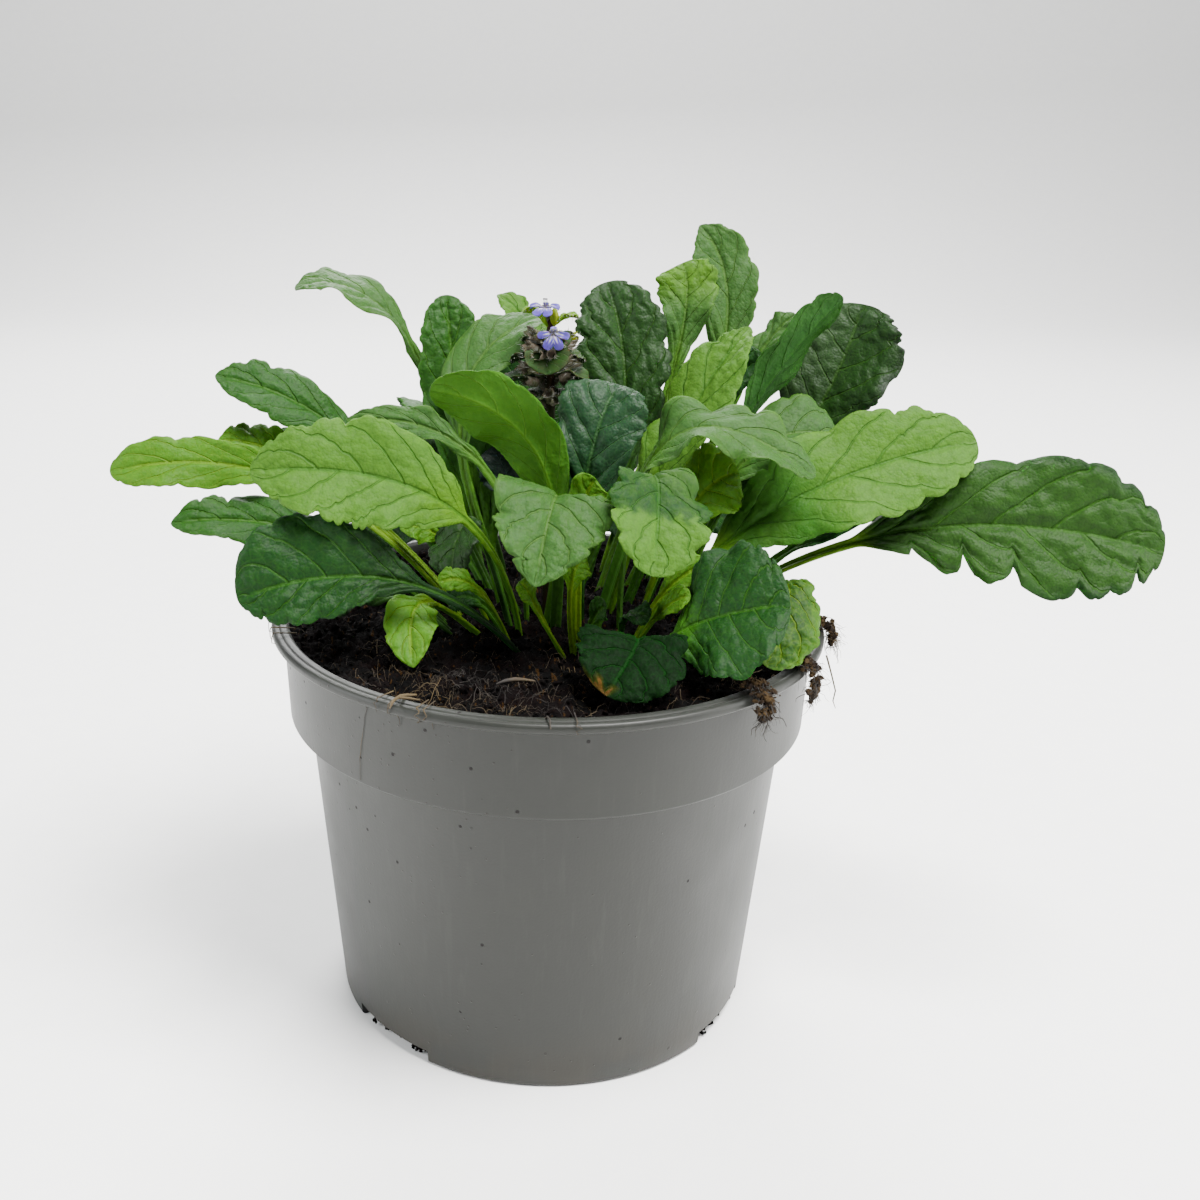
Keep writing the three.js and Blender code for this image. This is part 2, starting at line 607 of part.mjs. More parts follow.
add('pot', potSolid(), 0x777b78, 0.55);
add('soil', toGeometry(soilSolid().subtract(stemSolid(SOCKET_GAP))), 0x2b2019, 0.95);
for (const name of new Set(leaves.map((shape) => shape.name))) {
  const own = leaves.filter((shape) => shape.name === name);
  const solids = own.map((shape) => toSolid(leafSolid(shape)));
  add(name, toGeometry(solids.reduce((whole, solid) => whole.add(solid))), own[0].colour, 0.5);
}

let spike = spikeSolid();
for (const flower of FLOWERS) {
  const matrix = placement(flower.point, flower.heading, flower.tilt);
  const room = toGeometry(tubeSolid(0.5)).applyMatrix4(matrix);
  spike = spike.subtract(toSolid(room));
  add(flower.name, toGeometry(flowerSolid()).applyMatrix4(matrix), 0x5a5fd0, 0.5);
}
add('flower_spike', toGeometry(spike), 0x3f4a38, 0.7);

for (const tuft of TUFTS) {
  add(tuft.name, tuftSolid(tuft), 0x33261c, 0.95);
}

export default group;
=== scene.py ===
import math
import random

import bmesh
import bpy
from mathutils import Matrix, Vector, noise


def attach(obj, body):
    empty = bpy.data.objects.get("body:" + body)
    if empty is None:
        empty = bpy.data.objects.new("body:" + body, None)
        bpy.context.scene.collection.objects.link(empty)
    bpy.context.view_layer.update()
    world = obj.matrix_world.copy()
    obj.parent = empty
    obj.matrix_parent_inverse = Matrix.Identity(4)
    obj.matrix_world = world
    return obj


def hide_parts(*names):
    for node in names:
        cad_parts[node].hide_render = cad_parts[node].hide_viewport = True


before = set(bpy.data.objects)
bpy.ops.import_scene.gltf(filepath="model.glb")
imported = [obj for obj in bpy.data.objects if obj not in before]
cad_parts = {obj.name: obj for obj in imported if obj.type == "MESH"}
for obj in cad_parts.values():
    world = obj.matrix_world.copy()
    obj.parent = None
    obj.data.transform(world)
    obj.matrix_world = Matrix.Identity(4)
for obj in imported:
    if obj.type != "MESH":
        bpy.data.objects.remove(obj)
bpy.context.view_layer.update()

# ---------------------------------------------------------------------------------------------
# The view. The plant is seen from the front and a little above, close enough for the leaves that
# point at the viewer to look larger. The frame is shifted, not turned, to put the pot low in it.
# ---------------------------------------------------------------------------------------------

VIEW_POINT = Vector((-0.0122, -0.4128, 0.2719))
LOOK_DOWN = math.radians(11.64)
LEAN = math.radians(0.65)
SENSOR_WIDTH = 36
FOCAL_LENGTH = 41.73
SHIFT_RIGHT = 0.075
SHIFT_UP = -0.1667

ahead = Vector((0, math.cos(LOOK_DOWN), -math.sin(LOOK_DOWN)))
plumb = Vector((0, math.sin(LOOK_DOWN), math.cos(LOOK_DOWN)))
right = Vector((math.cos(LEAN), 0, 0)) + plumb * math.sin(LEAN)
up = plumb * math.cos(LEAN) - Vector((math.sin(LEAN), 0, 0))

lens = bpy.data.cameras.new("camera")
lens.sensor_width = SENSOR_WIDTH
lens.lens = FOCAL_LENGTH
lens.shift_x = SHIFT_RIGHT
lens.shift_y = SHIFT_UP
lens.clip_start = 0.01
camera = bpy.data.objects.new("camera", lens)
turn = Matrix((right, up, -ahead)).transposed().to_4x4()
camera.matrix_world = Matrix.Translation(VIEW_POINT) @ turn
bpy.context.scene.collection.objects.link(camera)
bpy.context.scene.camera = camera

# ---------------------------------------------------------------------------------------------
# The ground and the light. A seamless sheet of pale card lies under the pot and sweeps up behind
# it, under a strong soft light from above, a little to the front and the right, a weaker one on
# each side, one from behind and the pale light of a room.
# ---------------------------------------------------------------------------------------------


class Wire:
    """A socket of a material's node tree that sums, products and powers can be written with."""

    def __init__(self, tree, socket=None):
        self.tree = tree
        self.socket = socket

    def make(self, kind, settings=None, sockets=None, outlet=0):
        """Adds a node: its settings first, then the values or wires of its sockets."""
        node = self.tree.nodes.new("ShaderNode" + kind)
        for name, value in (settings or {}).items():
            setattr(node, name, value)
        for name, value in (sockets or {}).items():
            if isinstance(value, Wire):
                self.tree.links.new(value.socket, node.inputs[name])
            else:
                node.inputs[name].default_value = value
        return Wire(self.tree, node.outputs[outlet])

    def place(self):
        """Where a point lies on its piece."""
        return self.make("TexCoord", outlet="Object")

    def kept(self, name, outlet="Vector"):
        """What the mesh keeps for each of its points under a name."""
        return self.make("Attribute", {"attribute_name": name}, outlet=outlet)

    def part(self, axis):
        """One of the three numbers of a place."""
        return self.make("SeparateXYZ", {}, {"Vector": self}, axis)

    def maths(self, operation, *others):
        return self.make("Math", {"operation": operation}, dict(enumerate((self,) + others)))

    def __add__(self, other):
        return self.maths("ADD", other)

    def __sub__(self, other):
        return self.maths("SUBTRACT", other)

    def __rsub__(self, other):
        return self.make("Math", {"operation": "SUBTRACT"}, {0: other, 1: self})

    def __mul__(self, other):
        return self.maths("MULTIPLY", other)

    def __pow__(self, other):
        return self.maths("POWER", other)

    __radd__ = __add__
    __rmul__ = __mul__

    def step(self, low, high):
        """Rises smoothly from 0 at low to 1 at high, or falls where high is the lower one."""
        values = {"Value": self, "From Min": low, "From Max": high}
        if high < low:
            values.update({"From Min": high, "From Max": low, "To Min": 1, "To Max": 0})
        return self.make("MapRange", {"interpolation_type": "SMOOTHSTEP"}, values)

    def blend(self, start, end):
        """Mixes two colours by this wire."""
        return self.make("Mix", {"data_type": "RGBA"}, {0: self, 6: start, 7: end}, 2)

    def noise(self, scale, detail):
        """A cloudy pattern: how fine it is and how many finer layers it has."""
        return self.make("TexNoise", {}, {"Vector": self, "Scale": scale, "Detail": detail})

    def cells(self, scale, feature="F1", outlet=0):
        """A pattern of small cells, such as specks or the net of fine veins."""
        sockets = {"Vector": self, "Scale": scale}
        return self.make("TexVoronoi", {"feature": feature}, sockets, outlet)

    def chance(self, scale, channel):
        """A number of its own for each cell of the same pattern."""
        colour = self.cells(scale, outlet="Color")
        return self.make("SeparateColor", {}, {"Color": colour}, channel)


def tone(red, green, blue):
    """A colour given as it looks in this bright light, from 0 to 255, as the share of the light
    that the material gives back."""
    shares = [0.24 * (part / 255) ** 2.2 for part in (red, green, blue)]
    middle = sum(shares) / 3
    return tuple(max(0.0015, middle + 1.3 * (share - middle)) for share in shares) + (1,)


def start_material(name):
    """A new material, and the wire from which its nodes are made."""
    material = bpy.data.materials.new(name)
    material.use_nodes = True
    material.node_tree.nodes.clear()
    return material, Wire(material.node_tree)


def finish_material(wire, surface, bump=None, height=0.0):
    """Joins a Principled surface and its bump to the material's output."""
    if bump is not None:
        surface["Normal"] = wire.make("Bump", {}, {"Height": bump, "Distance": height})
    shader = wire.make("BsdfPrincipled", {}, surface)
    output = wire.tree.nodes.new("ShaderNodeOutputMaterial")
    wire.tree.links.new(shader.socket, output.inputs["Surface"])


def add_object(name, bm, material):
    """Makes a piece of a finished mesh and puts it in the scene."""
    mesh = bpy.data.meshes.new(name)
    bm.to_mesh(mesh)
    bm.free()
    mesh.materials.append(material)
    thing = bpy.data.objects.new(name, mesh)
    bpy.context.scene.collection.objects.link(thing)
    return thing


card, wire = start_material("pale_card")
grain = wire.place().noise(90, 4)
finish_material(wire, {
    "Base Color": grain.blend((0.88, 0.88, 0.87, 1), (0.93, 0.93, 0.92, 1)),
    "Roughness": 0.85,
})

CARD_HALF_WIDTH = 4
CARD_HALF_LENGTH = 3
CARD_FRONT = -1.6
CARD_BEND_START = 1.4
CARD_BEND_RADIUS = 0.9

bm = bmesh.new()
bmesh.ops.create_grid(bm, x_segments=2, y_segments=60, size=1)
for vert in bm.verts:
    run = CARD_HALF_LENGTH * (vert.co.y + 1) + CARD_FRONT
    bend = min(max((run - CARD_BEND_START) / CARD_BEND_RADIUS, 0), math.pi / 2)
    wall = max(run - CARD_BEND_START - CARD_BEND_RADIUS * math.pi / 2, 0)
    vert.co = (CARD_HALF_WIDTH * vert.co.x,
               min(run, CARD_BEND_START) + CARD_BEND_RADIUS * math.sin(bend),
               CARD_BEND_RADIUS * (1 - math.cos(bend)) + wall)
for face in bm.faces:
    face.smooth = True
ground = add_object("ground", bm, card)


def add_light(name, place, target, size, power, colour):
    """A round soft light at a place, aimed at a target."""
    lamp = bpy.data.lights.new(name, "AREA")
    lamp.shape = "DISK"
    lamp.size = size
    lamp.energy = power
    lamp.color = colour
    thing = bpy.data.objects.new(name, lamp)
    aim = Vector(target) - Vector(place)
    turn = aim.to_track_quat("-Z", "Y").to_matrix().to_4x4()
    thing.matrix_world = Matrix.Translation(place) @ turn
    bpy.context.scene.collection.objects.link(thing)


add_light("key", (0.4, -0.35, 1.35), (0.02, 0, 0.14), 0.7, 78, (1, 0.99, 0.97))
add_light("left_side", (-1.3, -0.3, 0.55), (0, 0, 0.1), 1.0, 26, (0.97, 0.99, 1))
add_light("right_side", (1.35, -0.2, 0.5), (0, 0, 0.1), 1.0, 26, (1, 1, 1))
add_light("back", (-0.1, 1.3, 1.2), (0, 0, 0.15), 1.0, 55, (1, 1, 1))

sky = bpy.data.worlds.new("soft_room")
sky.use_nodes = True
glow = sky.node_tree.nodes["Background"].inputs
glow["Color"].default_value = (0.95, 0.97, 1, 1)
glow["Strength"].default_value = 0.35
bpy.context.scene.world = sky

# ---------------------------------------------------------------------------------------------
# The pot. A nursery pot, moulded in one piece of satin grey polypropylene: a rolled lip with a
# fine bead, a collar, a step under it and a body that tapers to a foot with three drain openings.
# ---------------------------------------------------------------------------------------------

MM = 0.001
POT_HEIGHT = 120.7
LIP_RADIUS = 84.9
LIP_DEPTH = 3.2
COLLAR_TOP_RADIUS = 81.2
COLLAR_FOOT_RADIUS = 79.6
COLLAR_FOOT_HEIGHT = 91.2
BODY_TOP_RADIUS = 73.8
BODY_FOOT_RADIUS = 63.9
POT_WALL = 1.6
POT_FLOOR = 2.2
DRAIN_ANGLES = (-46, 60, 180)
DRAIN_SPAN = 28
DRAIN_HEIGHT = 4.2
DRAIN_INNER_RADIUS = 56
FOOT_RECESS = 0.8
FOOT_BEND_HEIGHT = 6.5
POT_STEPS = 216
EDGE_ROUNDING = 0.25
ROUNDED_TURN = 0.35


def spin_profile(bm, profile, steps):
    """Turns a line of (radius, height) points in millimetres round the pot's axis."""
    verts = [bm.verts.new((radius * MM, 0, height * MM)) for radius, height in profile]
    edges = [bm.edges.new(pair) for pair in zip(verts, verts[1:])]
    bmesh.ops.spin(bm, geom=verts + edges, axis=(0, 0, 1), cent=(0, 0, 0), angle=2 * math.pi,
                   steps=steps, use_merge=True, use_duplicate=False)
    bmesh.ops.remove_doubles(bm, verts=bm.verts, dist=1e-6)
    bmesh.ops.recalc_face_normals(bm, faces=bm.faces)


def shade(bm, sharp_angle=None):
    """Smooths the faces, and keeps the edges that turn by more than an angle sharp."""
    for face in bm.faces:
        face.smooth = True
    if sharp_angle is not None:
        for edge in bm.edges:
            edge.smooth = edge.is_manifold and edge.calc_face_angle() < math.radians(sharp_angle)


def finished_mesh(thing):
    """A new mesh of a piece with its modifiers, or its curve's thickness, worked out."""
    bpy.context.view_layer.update()
    graph = bpy.context.evaluated_depsgraph_get()
    return bpy.data.meshes.new_from_object(thing.evaluated_get(graph))


inner_radius = COLLAR_TOP_RADIUS - POT_WALL
pot_profile = [
    (0, FOOT_RECESS),
    (BODY_FOOT_RADIUS - 5, FOOT_RECESS),
    (BODY_FOOT_RADIUS - 4, 0),
    (BODY_FOOT_RADIUS - 0.8, 0),
    (BODY_FOOT_RADIUS, 0.8),
    (BODY_FOOT_RADIUS + 0.6, FOOT_BEND_HEIGHT),
    (BODY_FOOT_RADIUS + 0.9, 9),
    (BODY_TOP_RADIUS, COLLAR_FOOT_HEIGHT),
    (COLLAR_FOOT_RADIUS - 0.5, COLLAR_FOOT_HEIGHT),
    (COLLAR_FOOT_RADIUS, COLLAR_FOOT_HEIGHT + 0.6),
    (COLLAR_TOP_RADIUS, POT_HEIGHT - LIP_DEPTH - 0.6),
    (COLLAR_TOP_RADIUS + 0.6, POT_HEIGHT - LIP_DEPTH),
    (LIP_RADIUS - 0.7, POT_HEIGHT - LIP_DEPTH),
    (LIP_RADIUS, POT_HEIGHT - LIP_DEPTH + 0.7),
    (LIP_RADIUS, POT_HEIGHT - 1.3),
    (LIP_RADIUS - 0.5, POT_HEIGHT - 0.5),
    (LIP_RADIUS - 1.5, POT_HEIGHT - 0.25),
    (LIP_RADIUS - 2.0, POT_HEIGHT - 0.45),
    (LIP_RADIUS - 2.6, POT_HEIGHT - 0.1),
    (inner_radius + 1.1, POT_HEIGHT),
    (inner_radius, POT_HEIGHT - 0.9),
    (COLLAR_FOOT_RADIUS - POT_WALL, COLLAR_FOOT_HEIGHT + POT_WALL),
    (BODY_TOP_RADIUS - POT_WALL, COLLAR_FOOT_HEIGHT + POT_WALL),
    (BODY_FOOT_RADIUS + 0.6 - POT_WALL, FOOT_BEND_HEIGHT),
    (BODY_FOOT_RADIUS - POT_WALL, POT_FLOOR),
    (0, POT_FLOOR),
]
bm = bmesh.new()
spin_profile(bm, pot_profile, POT_STEPS)
rings = [edge for edge in bm.edges if edge.is_manifold and edge.calc_face_angle() > ROUNDED_TURN]
bmesh.ops.bevel(bm, geom=rings, offset=EDGE_ROUNDING * MM, segments=2, profile=0.5, affect="EDGES",
                material=-1, clamp_overlap=True)

pot_grey, wire = start_material("grey_polypropylene")
place = wire.place()
cloud = place.noise(14, 3)
haze = place.noise(60, 4)
streak_place = wire.make("Mapping", {}, {"Vector": place, "Scale": (1, 1, 0.06)})
streak = streak_place.noise(420, 3)
height = place.part("Z")
high_up = height.step(0.07, 0.116)
left = place.part("X").step(0.02, -0.05)
speck_chance = place.chance(330, 0) + left * (0.03 + 0.05 * high_up)
specks = place.cells(330).step(0.22, 0.12) * speck_chance.step(0.984, 0.988)
dot_chance = place.chance(760, 1) + left * (0.03 + 0.06 * high_up)
dots = place.cells(760).step(0.3, 0.16) * dot_chance.step(0.985, 0.99)
grey = cloud.blend(tone(56, 58, 53), tone(64, 66, 61))
grey = (haze.step(0.45, 0.75) * 0.35).blend(grey, tone(74, 76, 70))
grey = (streak.step(0.55, 0.75) * 0.18).blend(grey, tone(96, 98, 92))
foot_dust = height.step(0.022, 0.0) * haze.step(0.35, 0.6) * 0.35
grey = foot_dust.blend(grey, tone(84, 74, 60))
smudge = place.noise(9, 1).step(0.62, 0.72) * haze.step(0.4, 0.6) * 0.3
grey = smudge.blend(grey, tone(70, 70, 64))
grey = (dots * 0.8).blend(grey, tone(46, 38, 28))
grey = (specks * 0.9).blend(grey, tone(34, 26, 18))
finish_material(wire, {
    "Base Color": grey,
    "Roughness": 0.4 + 0.14 * haze + 0.3 * specks,
    "Specular IOR Level": 0.3,
}, streak * 0.3 + haze * 0.4 + place.noise(1300, 2) * 0.25 + specks * 1.5 + dots * 0.6, 0.00012)

shade(bm, 35)
pot = add_object("nursery_pot", bm, pot_grey)

# The drain openings are cut with blocks bent to the foot's curve.
cutters = []
for angle in DRAIN_ANGLES:
    cut = bmesh.new()
    verts = []
    for radius in (DRAIN_INNER_RADIUS, BODY_FOOT_RADIUS + 4):
        verts.append(cut.verts.new((radius * MM, 0, -1 * MM)))
    edge = cut.edges.new(verts)
    start = math.radians(angle - 90 - DRAIN_SPAN / 2)
    bmesh.ops.rotate(cut, verts=cut.verts, matrix=Matrix.Rotation(start, 3, "Z"))
    bmesh.ops.spin(cut, geom=cut.verts[:] + cut.edges[:], axis=(0, 0, 1), cent=(0, 0, 0),
                   angle=math.radians(DRAIN_SPAN), steps=12, use_duplicate=False)
    sweep = bmesh.ops.extrude_face_region(cut, geom=cut.faces[:])
    lifted = [item for item in sweep["geom"] if isinstance(item, bmesh.types.BMVert)]
    bmesh.ops.translate(cut, verts=lifted, vec=(0, 0, (DRAIN_HEIGHT + 1) * MM))
    bmesh.ops.recalc_face_normals(cut, faces=cut.faces)
    cutters.append(add_object("drain_cutter", cut, pot_grey))
for cutter in cutters:
    boolean = pot.modifiers.new("drain", "BOOLEAN")
    boolean.operation = "DIFFERENCE"
    boolean.solver = "EXACT"
    boolean.object = cutter
cut_mesh = finished_mesh(pot)
pot.modifiers.clear()
pot.data = cut_mesh
for cutter in cutters:
    bpy.data.objects.remove(cutter)
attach(pot, "root")
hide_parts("pot")

# ---------------------------------------------------------------------------------------------
# The compost. Damp peat that was pressed into the pot round the roots: a body that follows the
# pot's wall, with a lumpy crust on top, loose crumbs and short lengths of fibre and dead root.
# ---------------------------------------------------------------------------------------------

SOIL_EDGE_HEIGHT = 117.2
SOIL_MOUND = 1.6
SOIL_ROUGHNESS = 0.9
FIT_GAP = 0.4
CRUST_STEPS = 180
CRUMB_BATCHES = 18
BATCH_CRUMBS = 200
DRAIN_LUMPS = 4
LUMP_CRUMBS = 26
CRUMB_CLEARANCE = 0.05
FIBRE_COUNT = 760
FIBRE_STEPS = 7
FIBRE_LIFT = 1.4


def clamp(value):
    return min(1.0, max(0.0, value))


def smooth(value):
    """Rises without a corner from 0 at 0 to 1 at 1."""
    share = clamp(value)
    return share * share * (3 - 2 * share)


def soil_height(x, y):
    """The compost's height in millimetres, as on the solid, at a place in millimetres."""
    share = 1 - (x * x + y * y) / COLLAR_TOP_RADIUS ** 2
    lumps = math.sin(0.31 * x + 1.3) * math.cos(0.27 * y - 0.4) + 0.5 * math.sin(0.6 * x - 0.45 * y)
    return SOIL_EDGE_HEIGHT + SOIL_MOUND * share + SOIL_ROUGHNESS * lumps * min(1, 4 * share)


def crust_height(x, y):
    """The same surface with its clods and crumbs."""
    reach = math.hypot(x, y) / COLLAR_TOP_RADIUS
    clods = noise.noise(Vector((0.11 * x, 0.11 * y, 3.1)))
    crumbs = noise.noise(Vector((0.35 * x, 0.35 * y, 7.7)))
    grit = noise.noise(Vector((0.7 * x, 0.7 * y, 1.9)))
    grit = grit + 0.6 * noise.noise(Vector((1.5 * x, 1.5 * y, 5.3)))
    ridges = 1 - abs(noise.noise(Vector((0.22 * x, 0.22 * y, 12.4)))) * 2.5
    rise = 2.1 * clods + 1.7 * crumbs + 1.3 * grit + 0.9 * ridges
    return soil_height(x, y) + rise * (1 - 0.55 * smooth((reach - 0.8) / 0.16))


soil_wall = POT_WALL + FIT_GAP
top_radius = COLLAR_TOP_RADIUS - soil_wall - 0.2
bm = bmesh.new()
bmesh.ops.create_grid(bm, x_segments=CRUST_STEPS, y_segments=CRUST_STEPS, size=1)
for vert in bm.verts:
    x = vert.co.x * math.sqrt(1 - vert.co.y ** 2 / 2) * top_radius
    y = vert.co.y * math.sqrt(1 - vert.co.x ** 2 / 2) * top_radius
    vert.co = (x * MM, y * MM, crust_height(x, y) * MM)
rim = [edge for edge in bm.edges if edge.is_boundary]
for radius, level in (
    (COLLAR_FOOT_RADIUS - soil_wall, COLLAR_FOOT_HEIGHT + POT_WALL + FIT_GAP),
    (BODY_TOP_RADIUS - soil_wall, COLLAR_FOOT_HEIGHT + POT_WALL + FIT_GAP),
    (BODY_FOOT_RADIUS - soil_wall, POT_FLOOR + FIT_GAP),
):
    skirt = bmesh.ops.extrude_edge_only(bm, edges=rim)["geom"]
    for vert in [item for item in skirt if isinstance(item, bmesh.types.BMVert)]:
        flat = vert.co.xy.normalized() * radius * MM
        vert.co = (flat.x, flat.y, level * MM)
    rim = [item for item in skirt if isinstance(item, bmesh.types.BMEdge)]
bmesh.ops.contextual_create(bm, geom=rim)
bmesh.ops.recalc_face_normals(bm, faces=bm.faces)
shade(bm)

peat, wire = start_material("damp_peat")
place = wire.place()
clods = place.noise(130, 5)
grit = place.noise(900, 4)
stretch = {"Vector": place, "Rotation": (0, 0, 0.7), "Scale": (1, 0.18, 1)}
fibre = wire.make("Mapping", {}, stretch).noise(700, 2)
brown = clods.step(0.35, 0.72).blend(tone(8, 5, 3), tone(32, 22, 13))
brown = (grit.step(0.54, 0.76) * 0.5).blend(brown, tone(50, 36, 24))
brown = (fibre.step(0.64, 0.7) * 0.5).blend(brown, tone(110, 84, 56))
finish_material(wire, {
    "Base Color": brown,
    "Roughness": 0.78 + 0.2 * grit,
    "Specular IOR Level": 0.04,
}, clods * 0.6 + grit * 0.9, 0.0015)
soil = add_object("compost", bm, peat)
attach(soil, "root")
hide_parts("soil")


def add_crumb(bm, place, size, draw):
    """One crumb of peat: a small ball pulled out of shape."""
    turn = Matrix.Rotation(draw.uniform(0, 6.28), 4, Vector((draw.random(), draw.random(), 1)))
    shape = Matrix.Diagonal((draw.uniform(0.7, 1.5), draw.uniform(0.6, 1.1),
                             draw.uniform(0.5, 0.9), 1))
    made = bmesh.ops.create_icosphere(bm, subdivisions=1, radius=size * MM,
                                      matrix=Matrix.Translation(place) @ turn @ shape)
    for vert in made["verts"]:
        vert.co += (vert.co - place) * draw.uniform(-0.35, 0.3)


# Loose crumbs on the crust, made in batches because one growing mesh is slow, and small lumps in
# the drain openings.
draw = random.Random(7)
batch_mesh = bpy.data.meshes.new("batch")
bm = bmesh.new()
for batch in range(CRUMB_BATCHES):
    part = bmesh.new()
    for crumb in range(BATCH_CRUMBS):
        angle = draw.uniform(0, 2 * math.pi)
        reach = top_radius * math.sqrt(draw.uniform(0, 1)) * 0.985
        x, y = reach * math.cos(angle), reach * math.sin(angle)
        size = 0.3 + 1.3 * draw.random() ** 3
        add_crumb(part, Vector((x, y, crust_height(x, y) + 0.2 * size)) * MM, size, draw)
    part.to_mesh(batch_mesh)
    part.free()
    bm.from_mesh(batch_mesh)
bpy.data.meshes.remove(batch_mesh)
for drain in DRAIN_ANGLES:
    for lump in range(DRAIN_LUMPS):
        angle = math.radians(drain - 90 + (lump - 1.5 + draw.uniform(-0.4, 0.4)) * DRAIN_SPAN * 0.2)
        reach = draw.uniform(DRAIN_INNER_RADIUS + 2.5, BODY_FOOT_RADIUS - 3)
        for crumb in range(LUMP_CRUMBS):
            size = draw.uniform(0.3, 0.9)
            spot = Vector((reach * math.cos(angle) + draw.gauss(0, 1.1),
                           reach * math.sin(angle) + draw.gauss(0, 1.1),
                           abs(draw.gauss(0.4, 0.7)) + 0.6 * size))
            add_crumb(bm, spot * MM, size, draw)
for vert in bm.verts:
    vert.co.z = max(vert.co.z, CRUMB_CLEARANCE * MM)
crumbs = add_object("peat_crumbs", bm, peat)
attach(crumbs, "root")


def add_strands(name, strands, material):
    """Fibres or roots as thin round tubes. Each strand is a list of (x, y, z, radius) in
    millimetres, drawn as a curve and then made a mesh."""
    curve = bpy.data.curves.new(name, "CURVE")
    curve.dimensions = "3D"
    curve.bevel_depth = 1
    curve.bevel_resolution = 0
    curve.use_fill_caps = True
    for strand in strands:
        spline = curve.splines.new("POLY")
        spline.points.add(len(strand) - 1)
        for point, (x, y, z, radius) in zip(spline.points, strand):
            point.co = (x * MM, y * MM, z * MM, 1)
            point.radius = radius * MM
    tube = bpy.data.objects.new(name, curve)
    bpy.context.scene.collection.objects.link(tube)
    mesh = finished_mesh(tube)
    bpy.data.objects.remove(tube)
    mesh.materials.clear()
    mesh.materials.append(material)
    mesh.name = name
    for polygon in mesh.polygons:
        polygon.use_smooth = True
    thing = bpy.data.objects.new(name, mesh)
    bpy.context.scene.collection.objects.link(thing)
    return thing


def lying_strand(x, y, length, radius, draw):
    """A fibre that lies on the crust and bends as it goes."""
    heading = draw.uniform(0, 2 * math.pi)
    bend = draw.uniform(-0.1, 0.1)
    arch = FIBRE_LIFT * draw.random() ** 2
    points = []
    for i in range(FIBRE_STEPS + 1):
        share = i / FIBRE_STEPS
        z = crust_height(x, y) + radius * 0.6 + arch * math.sin(math.pi * share) * 2
        points.append((x, y, z, radius * (1 - 0.6 * share)))
        x += length / FIBRE_STEPS * math.cos(heading)
        y += length / FIBRE_STEPS * math.sin(heading)
        heading += bend + draw.uniform(-0.14, 0.14)
        if math.hypot(x, y) > top_radius - 1:
            heading = math.atan2(-y, -x)
    return points


dry_fibre, wire = start_material("dry_fibre")
place = wire.place()
patch = place.noise(60, 2)
finish_material(wire, {
    "Base Color": patch.step(0.4, 0.68).blend(tone(46, 36, 23), tone(126, 106, 70)),
    "Roughness": 0.75 + 0.1 * patch,
}, place.noise(1500, 2), 0.0002)

strands = []
for fibre in range(FIBRE_COUNT):
    angle = draw.uniform(0, 2 * math.pi)
    reach = top_radius * math.sqrt(draw.uniform(0.02, 0.97))
    if fibre % 3 == 0:
        angle = math.radians(-90 + draw.gauss(-18, 17))
        reach = top_radius * draw.uniform(0.66, 0.97)
    thick = 0.04 + 0.13 * draw.random() ** 4
    strands.append(lying_strand(reach * math.cos(angle), reach * math.sin(angle),
                                draw.uniform(2, 9), thick, draw))
fibres = add_strands("peat_fibres", strands, dry_fibre)
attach(fibres, "root")

# ---------------------------------------------------------------------------------------------
# The leaves. Spoon-shaped blades with scalloped edges on grooved stalks, quilted between their
# veins. Each one follows the line of its solid: foot, middle and tip, with a width and a roll.
# ---------------------------------------------------------------------------------------------

ROOT_DEPTH = 5
BLADE_THICKNESS = 0.5

